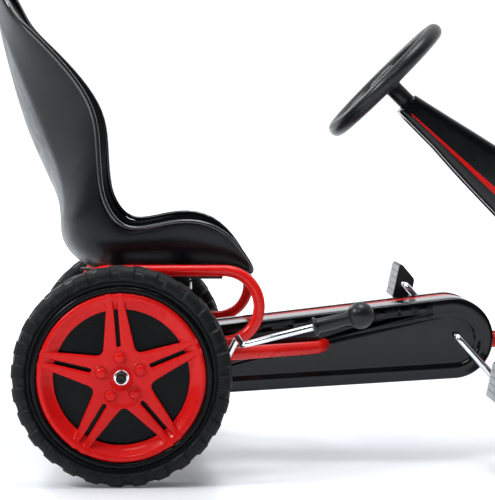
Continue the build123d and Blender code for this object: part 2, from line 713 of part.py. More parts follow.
ARM_Z = (SLEEVE_Z[1] + GAP, SLEEVE_Z[1] + GAP + 5)
EYE_Z = (ARM_Z[1] + GAP, ARM_Z[1] + GAP + 10)
EYE_PIN_R = 4.0
ARM_END_X = WHEELBASE - STEERING_ARM
STUB_END_Y = FRONT_TRACK / 2 + FRONT_WHEEL_WIDTH / 2 + 6

for name, turn in SIDES.items():
    y = turn * KINGPIN_Y
    with BuildPart() as knuckle:
        upright(WHEELBASE, y, KINGPIN_R, FRONT_WHEEL_R - AXLE_R, ARM_Z[1] + 10)
        upright(WHEELBASE, y, KINGPIN_R + 4, FRONT_WHEEL_R - AXLE_R, SLEEVE_Z[0] - GAP)
        near, far = sorted((y, turn * STUB_END_Y))
        across(WHEELBASE, FRONT_WHEEL_R, AXLE_R, near, far)
        near, far = sorted((y + turn * 8, turn * (FRONT_TRACK / 2 - FRONT_WHEEL_WIDTH / 2 - GAP)))
        across(WHEELBASE, FRONT_WHEEL_R, AXLE_R + 3, near, far)
        with BuildSketch(Plane.XY.offset(ARM_Z[0])):
            with Locations((REAR_X + (WHEELBASE + ARM_END_X) / 2, y)):
                SlotCenterToCenter(STEERING_ARM, 20)
        extrude(amount=5)
        with BuildSketch(Plane.XY.offset(ARM_Z[1])):
            with Locations((REAR_X + WHEELBASE, y)):
                RegularPolygon(10, 6)
        extrude(amount=7)
        upright(ARM_END_X, y, EYE_PIN_R, ARM_Z[1], EYE_Z[1] + 7)
        with BuildSketch(Plane.XY.offset(EYE_Z[1] + GAP)):
            with Locations((REAR_X + ARM_END_X, y)):
                RegularPolygon(7.5, 6)
        extrude(amount=5)
    save(knuckle, f"knuckle_{name}")
    with BuildPart() as stub_nut:
        near, far = sorted((turn * (STUB_END_Y - 9.5), turn * (STUB_END_Y - 2)))
        hex_nut(WHEELBASE, FRONT_WHEEL_R, near, far, NUT_R + 1.2, AXLE_R)
    save(stub_nut, f"stub_nut_{name}")

EYE_R = 10.0
SOCKET_R = 17.0
SOCKET_BORE_R = 12.0
ROD_Z = (EYE_Z[0] + EYE_Z[1]) / 2

with BuildPart() as track_rod:
    across(ARM_END_X, ROD_Z, 4.5, -KINGPIN_Y + EYE_R - 2, KINGPIN_Y - EYE_R + 2)
    for turn in SIDES.values():
        upright(ARM_END_X, turn * KINGPIN_Y, EYE_R, *EYE_Z)
    upright(ARM_END_X, 0, SOCKET_R, 170, 184)
    for turn in SIDES.values():
        upright(ARM_END_X, turn * KINGPIN_Y, EYE_PIN_R + RUNNING, *EYE_Z, Mode.SUBTRACT)
    upright(ARM_END_X, 0, SOCKET_BORE_R, 170, 184, Mode.SUBTRACT)
save(track_rod, "track_rod")

# ---------------------------------------------------------------- column fairing and nose
FAIRING_WALL = 2.5
FAIRING_TOP = [(374, 464), (473, 402), (600, 322), (700, 250), (768, 188), (806, 146), (NOSE_X, 124)]
FAIRING_BOTTOM = [(800, 92), (722, 88), (NOSE_TAB_X + 3, 120), (NOSE_TAB_X, 178), (660, 204),
                  (585, 206), (552, 232), (473, 315), (352, 442)]
FAIRING_PLAN = [(345, 21), (473, 25), (600, 38), (700, 58), (768, 74), (796, 70), (NOSE_X, 46)]
STRIPE_TOP = [(366, 442), (473, 347.5), (600, 262), (690, 214), (760, 168)]
STRIPE_BOTTOM = [(744, 150), (680, 206), (592, 240), (473, 338), (366, 440)]


def fairing_side(cut):
    """Side outline; cut moves the walls in and opens the underside behind the nose."""
    with BuildSketch(side(-90)) as outline:
        with BuildLine():
            Polyline(*FAIRING_TOP, *FAIRING_BOTTOM, close=True)
        make_face()
        if cut:
            offset(amount=-cut, mode=Mode.REPLACE, kind=Kind.INTERSECTION)
    return outline.sketch


def fairing_plan(cut):
    half = [(x, y - cut) for x, y in FAIRING_PLAN]
    half[0] = (half[0][0] + cut, half[0][1])
    half[-1] = (half[-1][0] - cut, half[-1][1])
    points = half + [(x, -y) for x, y in reversed(half)]
    with BuildSketch(Plane(origin=(REAR_X, 0, 80))) as outline:
        with BuildLine():
            Polyline(*points, close=True)
        make_face()
    return outline.sketch


UNDERSIDE = [(362, 444), (473, 327), (552, 245), (585, 219), (660, 217), (690, 205),
             (690, 190), (585, 190), (540, 220), (473, 290), (345, 425)]

with BuildPart() as fairing_inner:
    extrude(fairing_side(FAIRING_WALL), amount=-180)
    with BuildSketch(side(-90)) as underside:
        with BuildLine():
            Polyline(*UNDERSIDE, close=True)
        make_face()
    extrude(underside.sketch, amount=-180)
    extrude(fairing_plan(FAIRING_WALL), amount=420, mode=Mode.INTERSECT)

with BuildPart() as fairing:
    extrude(fairing_side(0), amount=-180)
    extrude(fairing_plan(0), amount=420, mode=Mode.INTERSECT)
    add(fairing_inner.part, mode=Mode.SUBTRACT)
    column_bar(STEER_TUBE_R + GAP, 10, 80, Mode.SUBTRACT)

for name, turn in SIDES.items():
    with BuildPart() as fairing_half:
        add(fairing.part)
        split(bisect_by=Plane.XZ, keep=Keep.TOP if turn < 0 else Keep.BOTTOM)
    save(fairing_half, f"fairing_{name}")

STRIPE_RAISE = 0.8

with BuildPart() as fairing_stripes:
    with BuildSketch(side(-90)) as stripe:
        with BuildLine():
            Polyline(*STRIPE_TOP, *STRIPE_BOTTOM, close=True)
        make_face()
    extrude(stripe.sketch, amount=-180)
    extrude(fairing_plan(-STRIPE_RAISE), amount=420, mode=Mode.INTERSECT)
    with BuildPart(mode=Mode.PRIVATE) as plan_body:
        extrude(fairing_plan(0), amount=420)
    add(plan_body.part, mode=Mode.SUBTRACT)
save(fairing_stripes, "fairing_stripes")

# ---------------------------------------------------------------- hand brake
HANDLE_BEND = (142.4, 168.0)
PAD_INNER = (139.8, 178.0)
HANDLE_BALL = (280.0, 202.3)
GRIP_BALL_R = 16.0
GRIP_START = 0.60              # share of the handle's length that is bare rod

with BuildPart() as brake_lever:
    legs = []
    for turn in SIDES.values():
        legs.append([
            at(BRAKE_PIVOT[0], turn * BRAKE_INNER_Y, BRAKE_PIVOT[1]),
            at(PAD_INNER[0] - 2, turn * BRAKE_INNER_Y, PAD_INNER[1] - 6),
            at(HANDLE_BEND[0], turn * BRAKE_OUTER_Y, HANDLE_BEND[1]),
        ])
    right_leg, left_leg = legs
    sweep_bar(
        [at(HANDLE_BALL[0], -BRAKE_OUTER_Y, HANDLE_BALL[1])]
        + list(reversed(right_leg))
        + left_leg,
        [6, 5, 5, 5, 5],
        BRAKE_ROD_R,
    )
save(brake_lever, "brake_lever")

with BuildPart() as brake_grip:
    heading = (HANDLE_BALL[0] - HANDLE_BEND[0], HANDLE_BALL[1] - HANDLE_BEND[1])
    length = sqrt(heading[0] ** 2 + heading[1] ** 2)
    bend = at(HANDLE_BEND[0], -BRAKE_OUTER_Y, HANDLE_BEND[1])
    along = Plane(origin=bend, x_dir=(heading[0], 0, heading[1]), z_dir=(0, -1, 0))
    start = GRIP_START * length
    with BuildSketch(along):
        with BuildLine():
            Polyline((start, BRAKE_ROD_R), (start, 11), (start + 3, 11.5), (start + 5, 8.5),
                     (length - 12, 7.6), (length - 12, BRAKE_ROD_R), close=True)
        make_face()
        with BuildLine():
            Line((length - GRIP_BALL_R, 0), (length + GRIP_BALL_R, 0))
            ThreePointArc((length + GRIP_BALL_R, 0), (length, GRIP_BALL_R),
                          (length - GRIP_BALL_R, 0))
        make_face()
        with Locations((length / 2, 0)):
            Rectangle(length, 2 * BRAKE_ROD_R, mode=Mode.SUBTRACT)
    revolve(axis=Axis(bend, along.x_dir), revolution_arc=360)
save(brake_grip, "brake_grip")

# ---------------------------------------------------------------- seat
# Stations along the bucket: outer point on the middle line, rim point, rim half width.
SEAT_STATIONS = [
    ((154, 241), (157, 254), 166),
    ((122, 241), (125, 297), 175),
    ((60, 243), (80, 312), 176),
    ((5, 245), (34, 302), 176),
    ((-45, 249), (2, 300), 176),
    ((-72, 276), (-19, 324), 174),
    ((-80, 325), (-28, 355), 172),
    ((-93, 362), (-30, 404), 171),
    ((-112, 411), (-36, 446), 170),
    ((-128, 460), (-64, 490), 169),
    ((-145, 515), (-107, 535), 166),
    ((-157, 560), (-133, 560), 160),
    ((-165, 596), (-148, 594), 140),
    ((-SEAT_OVERHANG, 614), (-160, 614), 98),
]
SECTION_STEPS = 12
BOXINESS = 2.0 / 3.2           # exponent of the U-shaped section


def seat_section(outer, rim, half_width, wall):
    """U-shaped section between the rim and the middle line, closed across the rim."""
    depth = sqrt((outer[0] - rim[0]) ** 2 + (outer[1] - rim[1]) ** 2)
    down = ((outer[0] - rim[0]) / depth, 0, (outer[1] - rim[1]) / depth)
    plane = Plane(origin=at(rim[0], 0, rim[1]), x_dir=(0, 1, 0), z_dir=(down[2], 0, -down[0]))
    points = []
    for step in range(SECTION_STEPS + 1):
        angle = pi * step / SECTION_STEPS
        across_share = abs(cos(angle)) ** BOXINESS * (1 if cos(angle) > 0 else -1)
        depth_share = sin(angle) ** BOXINESS if 0 < step < SECTION_STEPS else 0
        points.append(((half_width - wall) * across_share, (depth - wall) * depth_share))
    if wall:
        points = [(half_width - wall, -30)] + points + [(wall - half_width, -30)]
    with BuildSketch(plane) as section:
        with BuildLine():
            Polyline(*points, close=True)
        make_face()
    return section.sketch


def seat_body(wall):
    stations = list(SEAT_STATIONS)
    if wall:
        first, last = stations[0], stations[-1]
        stations[0] = ((first[0][0] + 6, first[0][1]), (first[1][0] + 6, first[1][1]), first[2])
        stations[-1] = ((last[0][0], last[0][1] + 6), (last[1][0], last[1][1] + 6), last[2])
    sections = [seat_section(*station, wall) for station in stations]
    loft(sections, ruled=True)


with BuildPart() as seat_cavity:
    seat_body(SEAT_WALL)

with BuildPart() as seat_shell:
    seat_body(0)
    add(seat_cavity.part, mode=Mode.SUBTRACT)
save(seat_shell, "seat_shell")

BAR_XS = (-8.0, 70.0)
BAR_HALF_X = 11.0
BAR_Z = (231.0, 235.0)
BAR_END_Y = RAIL_Y - LOOP_R
RUNNER_Y = 90.0
RUNNER_Z = (BAR_Z[1] + GAP, BAR_Z[1] + GAP + 3)
SEAT_TRAVEL = 40.0
BOLT_SHANK_R = 4.0
RUNNER_XS = (-62.0, 122.0)
SPACERS = ((11.0, 6.0), (105.0, 10.0))   # middle and half length of each

with BuildPart() as seat_crossbars:
    for x in BAR_XS:
        block(x - BAR_HALF_X, x + BAR_HALF_X, -BAR_END_Y, BAR_END_Y, *BAR_Z)
        for turn in SIDES.values():
            near, far = sorted((turn * (BAR_END_Y - 4), turn * BAR_END_Y))
            block(x - BAR_HALF_X, x + BAR_HALF_X, near, far, BAR_Z[0], 253)
            upright(x, turn * RUNNER_Y, BOLT_SHANK_R, *BAR_Z, Mode.SUBTRACT)
save(seat_crossbars, "seat_crossbars")

with BuildPart() as seat_bolts:
    for x in BAR_XS:
        for turn in SIDES.values():
            y = turn * RUNNER_Y
            upright(x, y, BOLT_SHANK_R, BAR_Z[0] - 9, RUNNER_Z[1] + GAP + 2)
            upright(x, y, 9, RUNNER_Z[1] + GAP, RUNNER_Z[1] + GAP + 2)
            upright(x, y, 14, BAR_Z[0] - 9, BAR_Z[0])
save(seat_bolts, "seat_bolts")

with BuildPart() as seat_runners:
    for turn in SIDES.values():
        y = turn * RUNNER_Y
        block(*RUNNER_XS, y - 13, y + 13, *RUNNER_Z)
        for x in BAR_XS:
            with BuildSketch(Plane.XY.offset(RUNNER_Z[0])):
                with Locations((REAR_X + x - SEAT_TRAVEL / 2, y)):
                    SlotCenterToCenter(SEAT_TRAVEL, 2 * (BOLT_SHANK_R + 0.5))
            extrude(amount=3, mode=Mode.SUBTRACT)
        for x, half in SPACERS:
            block(x - half, x + half, y - 13, y + 13, RUNNER_Z[1], 246.5)
    add(seat_shell.part, mode=Mode.SUBTRACT)
    add(seat_cavity.part, mode=Mode.SUBTRACT)
save(seat_runners, "seat_runners")
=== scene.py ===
import json
from math import asin, atan2, cos, degrees, pi, radians, sin, sqrt, tan

import bmesh
import bpy
import numpy as np
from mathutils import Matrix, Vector


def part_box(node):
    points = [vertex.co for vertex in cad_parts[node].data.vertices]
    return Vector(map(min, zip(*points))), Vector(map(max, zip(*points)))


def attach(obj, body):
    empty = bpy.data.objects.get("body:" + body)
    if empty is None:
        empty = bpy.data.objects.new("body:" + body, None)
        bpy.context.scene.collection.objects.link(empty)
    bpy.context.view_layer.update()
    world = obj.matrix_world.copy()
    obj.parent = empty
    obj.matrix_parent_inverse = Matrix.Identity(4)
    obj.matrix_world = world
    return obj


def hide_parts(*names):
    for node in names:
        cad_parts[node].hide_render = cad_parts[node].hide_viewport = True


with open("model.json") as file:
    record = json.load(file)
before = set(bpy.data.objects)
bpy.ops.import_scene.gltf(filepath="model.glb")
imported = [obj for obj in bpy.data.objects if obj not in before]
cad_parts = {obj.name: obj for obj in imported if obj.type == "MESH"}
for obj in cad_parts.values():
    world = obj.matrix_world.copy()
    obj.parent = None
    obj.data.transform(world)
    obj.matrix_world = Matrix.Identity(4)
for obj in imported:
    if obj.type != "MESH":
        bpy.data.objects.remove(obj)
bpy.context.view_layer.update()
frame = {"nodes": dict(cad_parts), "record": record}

NODES = frame["nodes"]

# The kart's own sizes are in millimetres: x forwards of the rear axle, y to the rider's
# left, z above the ground. at() turns them into the frame's metres.
MM = 0.001
AXLE_LOW, AXLE_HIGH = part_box("rear_axle")
AXLE_X = (AXLE_LOW.x + AXLE_HIGH.x) / 2
SIDES = {"right": -1, "left": 1}


def at(x, y, z):
    return Vector((AXLE_X + x * MM, y * MM, z * MM))


def on_circle(centre, radius, angle):
    return (centre[0] + radius * cos(radians(angle)), centre[1] + radius * sin(radians(angle)))


# ---------------------------------------------------------------- materials
MATERIALS = {}


def new_material(name, base, roughness, metallic=0.0, coat=0.0, coat_roughness=0.05, specular=0.5):
    material = bpy.data.materials.new(name)
    material.use_nodes = True
    shader = material.node_tree.nodes["Principled BSDF"]
    shader.inputs["Base Color"].default_value = (*base, 1)
    shader.inputs["Roughness"].default_value = roughness
    shader.inputs["Metallic"].default_value = metallic
    shader.inputs["Coat Weight"].default_value = coat
    shader.inputs["Coat Roughness"].default_value = coat_roughness
    shader.inputs["Specular IOR Level"].default_value = specular
    MATERIALS[name] = material
    return material, material.node_tree, shader


def noise(tree, scale, detail=4.0, roughness=0.55, stretch=None):
    coords = tree.nodes.new("ShaderNodeTexCoord")
    source = coords.outputs["Object"]
    if stretch:
        mapping = tree.nodes.new("ShaderNodeMapping")
        mapping.inputs["Scale"].default_value = stretch
        tree.links.new(source, mapping.inputs["Vector"])
        source = mapping.outputs["Vector"]
    texture = tree.nodes.new("ShaderNodeTexNoise")
    texture.inputs["Scale"].default_value = scale
    texture.inputs["Detail"].default_value = detail
    texture.inputs["Roughness"].default_value = roughness
    tree.links.new(source, texture.inputs["Vector"])
    return texture.outputs["Fac"]


def cells(tree, scale):
    coords = tree.nodes.new("ShaderNodeTexCoord")
    texture = tree.nodes.new("ShaderNodeTexVoronoi")
    texture.feature = "SMOOTH_F1"
    texture.inputs["Scale"].default_value = scale
    tree.links.new(coords.outputs["Object"], texture.inputs["Vector"])
    return texture.outputs["Distance"]


def ramp(tree, factor, stops):
    node = tree.nodes.new("ShaderNodeValToRGB")
    while len(node.color_ramp.elements) < len(stops):
        node.color_ramp.elements.new(0.5)
    for element, (place, colour) in zip(node.color_ramp.elements, stops):
        element.position = place
        element.color = (*colour, 1)
    tree.links.new(factor, node.inputs["Fac"])
    return node.outputs["Color"]


def span(tree, factor, low, high):
    node = tree.nodes.new("ShaderNodeMapRange")
    node.inputs["From Min"].default_value = 0.3
    node.inputs["From Max"].default_value = 0.7
    node.inputs["To Min"].default_value = low
    node.inputs["To Max"].default_value = high
    tree.links.new(factor, node.inputs["Value"])
    return node.outputs["Result"]


def bump(tree, shader, height, strength, distance, previous=None):
    node = tree.nodes.new("ShaderNodeBump")
    node.inputs["Strength"].default_value = strength
    node.inputs["Distance"].default_value = distance
    tree.links.new(height, node.inputs["Height"])
    if previous:
        tree.links.new(previous, node.inputs["Normal"])
    tree.links.new(node.outputs["Normal"], shader.inputs["Normal"])
    return node.outputs["Normal"]


def tinted(tree, shader, factor, dark, light):
    tree.links.new(ramp(tree, factor, [(0.35, dark), (0.65, light)]), shader.inputs["Base Color"])


def red_finish(name, dark, light, coat, wave, specular):
    _, tree, shader = new_material(name, light, 0.3, coat=coat, coat_roughness=0.05, specular=specular)
    tinted(tree, shader, noise(tree, 9, 3), dark, light)
    tree.links.new(span(tree, noise(tree, 60, 4), 0.22, 0.34), shader.inputs["Roughness"])
    peel = bump(tree, shader, noise(tree, 420, 2), 0.05, 0.0004)
    bump(tree, shader, noise(tree, 40, 2), wave, 0.0012, peel)


def black_finish(name, dark, light, rough, coat, grain_scale, grain, specular=0.2):
    _, tree, shader = new_material(name, light, rough[0], coat=coat, coat_roughness=0.06,
                                   specular=specular)
    tinted(tree, shader, noise(tree, 14, 4), dark, light)
    tree.links.new(span(tree, noise(tree, 75, 5), *rough), shader.inputs["Roughness"])
    bump(tree, shader, noise(tree, grain_scale, 3), grain, 0.0004)


def metal_finish(name, dark, light, rough, streak, scratch):
    _, tree, shader = new_material(name, light, rough[0], metallic=1.0)
    tinted(tree, shader, noise(tree, 35, 5), dark, light)
    fine = noise(tree, 260, 6, 0.6, stretch=streak)
    tree.links.new(span(tree, fine, *rough), shader.inputs["Roughness"])
    bump(tree, shader, fine, scratch, 0.0002)


def seat_finish():
    _, tree, shader = new_material("seat_plastic", (0.006, 0.007, 0.008), 0.36, coat=0.08,
                                   coat_roughness=0.16, specular=0.2)
    tinted(tree, shader, noise(tree, 12, 5), (0.0030, 0.0036, 0.0042), (0.0055, 0.0064, 0.0075))
    tree.links.new(span(tree, noise(tree, 45, 5), 0.30, 0.42), shader.inputs["Roughness"])
    pebble = bump(tree, shader, cells(tree, 480), 0.30, 0.0005)
    bump(tree, shader, noise(tree, 22, 2), 0.08, 0.001, pebble)


def rubber_finish(name, dark, light, rough, pore_scale, pore):
    _, tree, shader = new_material(name, light, rough[0], specular=0.18)
    tinted(tree, shader, noise(tree, 20, 6, 0.6), dark, light)
    tree.links.new(span(tree, noise(tree, 130, 5), *rough), shader.inputs["Roughness"])
    pores = bump(tree, shader, noise(tree, pore_scale, 5, 0.6), pore, 0.0006)
    bump(tree, shader, noise(tree, 60, 3), 0.04, 0.0008, pores)


red_finish("red_paint", (0.62, 0.006, 0.005), (0.72, 0.010, 0.007), 0.30, 0.006, 0.15)
red_finish("red_gloss", (0.56, 0.005, 0.005), (0.66, 0.008, 0.007), 0.16, 0.004, 0.10)
black_finish("black_gloss", (0.0020, 0.0023, 0.0028), (0.0036, 0.0042, 0.0050), (0.10, 0.17), 0.28,
             700, 0.02)
black_finish("black_paint", (0.004, 0.0045, 0.005), (0.008, 0.0085, 0.009), (0.30, 0.42), 0.15, 500, 0.06)
black_finish("core_plastic", (0.0020, 0.0024, 0.0026), (0.0038, 0.0043, 0.0046), (0.24, 0.34), 0.08,
             600, 0.04, 0.08)
black_finish("pedal_plastic", (0.005, 0.005, 0.0055), (0.010, 0.010, 0.011), (0.32, 0.45), 0.1, 650, 0.10)
black_finish("nylon", (0.06, 0.06, 0.065), (0.09, 0.09, 0.095), (0.40, 0.52), 0.0, 500, 0.1)
black_finish("tread_grey", (0.30, 0.31, 0.32), (0.46, 0.47, 0.48), (0.38, 0.55), 0.0, 420, 0.3)
metal_finish("chrome", (0.74, 0.75, 0.77), (0.90, 0.91, 0.93), (0.05, 0.12), (1, 1, 1), 0.03)
metal_finish("zinc_steel", (0.42, 0.43, 0.45), (0.62, 0.63, 0.65), (0.26, 0.42), (1, 6, 1), 0.12)
seat_finish()
black_finish("seat_edge", (0.004, 0.0045, 0.005), (0.008, 0.009, 0.010), (0.16, 0.24), 0.6, 600, 0.02,
             0.6)
rubber_finish("tyre", (0.0034, 0.0042, 0.0044), (0.0066, 0.0076, 0.0078), (0.44, 0.60), 800, 0.12)
black_finish("grip_rubber", (0.0045, 0.0052, 0.0055), (0.008, 0.009, 0.0095), (0.32, 0.42), 0.1, 900,
             0.012, 0.3)

# ---------------------------------------------------------------- mesh helpers
SMOOTH_ANGLE = radians(38)


def shade(obj, angle=SMOOTH_ANGLE):
    for polygon in obj.data.polygons:
        polygon.use_smooth = True
    obj.data.set_sharp_from_angle(angle=angle)


def piece(name, points, faces, material, body, replaces=(), angle=SMOOTH_ANGLE, subdivide=0, thick=0.0,
          offset=-1.0, bevel=0.0):
    """A mesh piece from points in metres, riding on a body."""
    mesh = bpy.data.meshes.new(name)
    mesh.from_pydata([tuple(p) for p in points], [], faces)
    work = bmesh.new()
    work.from_mesh(mesh)
    bmesh.ops.remove_doubles(work, verts=work.verts, dist=0.000012)
    loose = [v for v in work.verts if not v.link_faces]
    bmesh.ops.delete(work, geom=loose, context="VERTS")
    bmesh.ops.recalc_face_normals(work, faces=work.faces)
    work.to_mesh(mesh)
    work.free()
    obj = bpy.data.objects.new(name, mesh)
    bpy.context.scene.collection.objects.link(obj)
    mesh.materials.append(MATERIALS[material])
    if thick:
        solid = obj.modifiers.new("wall", "SOLIDIFY")
        solid.thickness = thick * MM
        solid.offset = offset
    if bevel:
        edge = obj.modifiers.new("edges", "BEVEL")
        edge.width = bevel * MM
        edge.segments = 3
        edge.limit_method = "ANGLE"
        edge.angle_limit = radians(32)
        edge.harden_normals = False
    if subdivide:
        fine = obj.modifiers.new("subdivide", "SUBSURF")
        fine.levels = subdivide
        fine.render_levels = subdivide
    shade(obj, angle)
    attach(obj, body)
    if replaces:
        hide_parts(*replaces)
    return obj


def grid_faces(rows, columns, closed_rows=False, closed_columns=False, first=0):
    faces = []
    for row in range(rows if closed_rows else rows - 1):
        for column in range(columns if closed_columns else columns - 1):
            a = first + row * columns + column
            b = first + row * columns + (column + 1) % columns
            c = first + ((row + 1) % rows) * columns + (column + 1) % columns
            d = first + ((row + 1) % rows) * columns + column
            faces.append((a, b, c, d))
    return faces


def lathe(name, profile, centre, direction, material, body, replaces=(), segments=96, angle=SMOOTH_ANGLE,
          closed=True, bevel=0.0):
    """Turns (distance along, radius) points in millimetres about an axis through centre."""
    turn = direction.normalized().to_track_quat("Z", "Y").to_matrix()
    points = []
    for along, radius in profile:
        for step in range(segments):
            phi = 2 * pi * step / segments
            points.append(centre + turn @ Vector((radius * cos(phi), radius * sin(phi), along)) * MM)
    faces = grid_faces(len(profile), segments, closed_rows=closed, closed_columns=True)
    return piece(name, points, faces, material, body, replaces, angle, bevel=bevel)


def rounded_path(points, radii, step=3.0):
    """Corner points in metres joined by runs and tangent arcs, sampled every few degrees."""
    path = [points[0]]
    for before, corner, after, radius in zip(points, points[1:], points[2:], radii):
        back = (before - corner).normalized()
        ahead = (after - corner).normalized()
        half = back.angle(ahead) / 2
        setback = radius * MM / tan(half)
        centre = corner + (back + ahead).normalized() * (radius * MM / sin(half))
        start = corner + back * setback - centre
        stop = corner + ahead * setback - centre
        turn = start.angle(stop)
        count = max(2, int(degrees(turn) / step))
        for index in range(count + 1):
            share = index / count
            arm = start * sin((1 - share) * turn) / sin(turn) + stop * sin(share * turn) / sin(turn)
            path.append(centre + arm)
    path.append(points[-1])
    return path


def tube_points(path, radius, segments, closed=False):
    """Rings about a path, carried along without twisting; radius may vary along it."""
    count = len(path)
    tangents = []
    for index in range(count):
        ahead = path[(index + 1) % count] if closed or index < count - 1 else path[index]
        behind = path[index - 1] if closed or index > 0 else path[index]
        tangents.append((ahead - behind).normalized())
    side = tangents[0].orthogonal().normalized()
    rings = []
    for index in range(count):
        side = (side - tangents[index] * side.dot(tangents[index])).normalized()
        up = tangents[index].cross(side)
        size = radius[index] if hasattr(radius, "__len__") else radius
        for step in range(segments):
            phi = 2 * pi * step / segments
            rings.append(path[index] + (side * cos(phi) + up * sin(phi)) * size * MM)
    return rings


def tube(name, path, radius, material, body, replaces=(), segments=32, closed=False, cap=1.2):
    """A round bar along a path, with slightly rounded ends."""
    if not closed:
        first = (path[1] - path[0]).normalized()
        last = (path[-1] - path[-2]).normalized()
        edge = cap * MM
        path = [path[0], path[0] + first * edge * 0.3, path[0] + first * edge] + path[1:-1] + [
            path[-1] - last * edge, path[-1] - last * edge * 0.3, path[-1]]
        sizes = [radius] * len(path)
        sizes[0] = sizes[-1] = radius - cap
        sizes[1] = sizes[-2] = radius - cap * 0.3
    else:
        sizes = radius
    points = tube_points(path, sizes, segments, closed)
    rows = len(path)
    faces = grid_faces(rows, segments, closed_rows=closed, closed_columns=True)
    if not closed:
        faces.append(tuple(range(segments)))
        faces.append(tuple(range((rows - 1) * segments, rows * segments)))
    return piece(name, points, faces, material, body, replaces, radians(50))


def dress(node, material, bevel=0.0, smooth=SMOOTH_ANGLE):
    """A CAD piece that stays: its own finish, welded seams and softened edges."""
    obj = NODES[node]
    obj.data.materials.clear()
    obj.data.materials.append(MATERIALS[material])
    weld = obj.modifiers.new("weld", "WELD")
    weld.merge_threshold = 0.00001
    if bevel:
        edge = obj.modifiers.new("edges", "BEVEL")
        edge.width = bevel * MM
        edge.segments = 2
        edge.limit_method = "ANGLE"
        edge.angle_limit = radians(40)
    for polygon in obj.data.polygons:
        polygon.use_smooth = True
    group = obj.modifiers.new("smooth", "EDGE_SPLIT")
    group.split_angle = smooth
    return obj


# ---------------------------------------------------------------- wheels
SPOKES = 5
SPOKE_LEAN = 4.5
REAR_R, FRONT_R = 130.0, 115.0
WINDOW_R = 80.0
WINDOW_APEX = 33.0
SPOKE_HALF_WIDTH = 11.6
SLOT_HALF_WIDTH = 2.6
TREAD_BLOCKS = 28
BLOCK_DEPTH = 2.1
BOLT_CIRCLE_R = 24.0
WHEELBASE = 650
AXLE_TIP_Y = 278.4              # the rear axle's capped ends reach this far out


def tyre(place, body, x, turn, radius, half_width, y):
    """Foam rubber tyre: bead ring, dark groove, and alternating low tread blocks."""
    k = radius / REAR_R
    h = half_width
    side_profile = [
        (h - 8.0, 108.0 * k, 0), (h - 6.0, 108.2 * k, 0), (h - 5.6, 109.6 * k, 0),
        (h - 5.2, 111.2 * k, 0), (h - 3.2, 112.9 * k, 0),
        (h - 1.6, 113.8 * k, 0.1), (h - 0.5, 115.0 * k, 0.6), (h, 117.2 * k, 1),
        (h - 0.2, 120.0 * k, 1), (h - 1.2, 123.4 * k, 1), (h - 3.2, 126.4 * k, 1),
        (h - 6.0, 128.6 * k, 1), (h - 9.5, 129.7 * k, 1), (h - 13, radius, 1),
        (h - 15.5, radius, 0.9), (h - 16.5, radius, 0.0), (h - 19.5, radius, 0.0),
        (h - 20.5, radius, 0.9),
    ]
    rows = [(u, r, cut, 1) for u, r, cut in side_profile]
    rows += [(-u, r, cut, -1) for u, r, cut in reversed(side_profile)]
    groove = {14: 0.2, 15: 1.6, 16: 1.6, 17: 0.2}
    phases = (0.0, 0.03, 0.10, 0.40, 0.47, 0.50, 0.53, 0.60, 0.90, 0.97)
    columns = TREAD_BLOCKS * len(phases)
    centre = at(x, y, radius)
    points = []
    for index, (u, r, cut, flank) in enumerate(rows):
        mirrored = index if flank > 0 else len(rows) - 1 - index
        sink = groove.get(mirrored, 0.0)
        for column in range(columns):
            block, phase = divmod(column, len(phases))
            share = phases[phase]
            angle = 2 * pi * (block + share + (0.0 if flank > 0 else 0.5)) / TREAD_BLOCKS
            low = 1.0 if 0.05 < share < 0.45 else 0.5 if share in (0.03, 0.47) else 0.0
            depth = BLOCK_DEPTH * low * cut
            rr = r - depth * (1.0 if r > 124 * k else 0.45) - sink
            uu = u - flank * depth * (0.9 if r < 127 * k else 0.2)
            points.append(centre + Vector((rr * cos(angle), turn * uu, rr * sin(angle))) * MM)
    faces = grid_faces(len(rows), columns, closed_rows=True, closed_columns=True)
    piece(f"{place}_tyre_tread", points, faces, "tyre", body, (f"{place}_tyre",), radians(28))


def blend_max(a, b, softness):
    """Largest of two distances, rounded where they meet."""
    return max(a, b) + max(softness - abs(a - b), 0.0) ** 2 / (4 * softness)


def window_edge(r):
    """Angle from the spoke's axis at which the window starts at radius r, or None."""
    corner = on_circle((0, 0), WINDOW_R, degrees(asin(SPOKE_HALF_WIDTH / WINDOW_R)))
    apex = on_circle((0, 0), WINDOW_APEX, 36)
    run = (corner[0] - apex[0], corner[1] - apex[1])
    size = sqrt(run[0] ** 2 + run[1] ** 2)
    normal = (run[1] / size, -run[0] / size)

    def outside(angle):
        distances = []
        for mirrored in (angle, 72 - angle):
            px, py = on_circle((0, 0), r, mirrored)
            distances.append((px - apex[0]) * normal[0] + (py - apex[1]) * normal[1])
        return blend_max(*distances, 9.0)

    if outside(36) > 0:
        return None
    low, high = 0.0, 36.0
    for _ in range(40):
        middle = (low + high) / 2
        if outside(middle) > 0:
            low = middle
        else:
            high = middle
    return high


def stops(r, table):
    return float(np.interp(r, [s[0] for s in table], [s[1] for s in table]))


# How far the cover's faces lie inside the wheel's outer plane, by radius.
RAIL_DEPTH = [(9, 5.4), (12, 5.0), (15, 4.2), (31, 3.9), (37, 3.4), (60, 3.0), (80, 2.3), (91, 1.3),
              (93.5, 0.7), (95, 0.3)]
RIM_DEPTH = [(79, 8.2), (81, 7.9), (84, 6.9), (87, 5.1), (90, 2.8), (92, 1.2), (93.5, 0.5),
             (95, 0.25), (97, 0.6), (98.5, 1.6), (99.5, 3.2)]
RAIL_OUTER = [(80, 11.6), (93, 9.4), (100, 9.0)]     # half widths of the spoke across its two rails
SLOT_END_R = 36.0


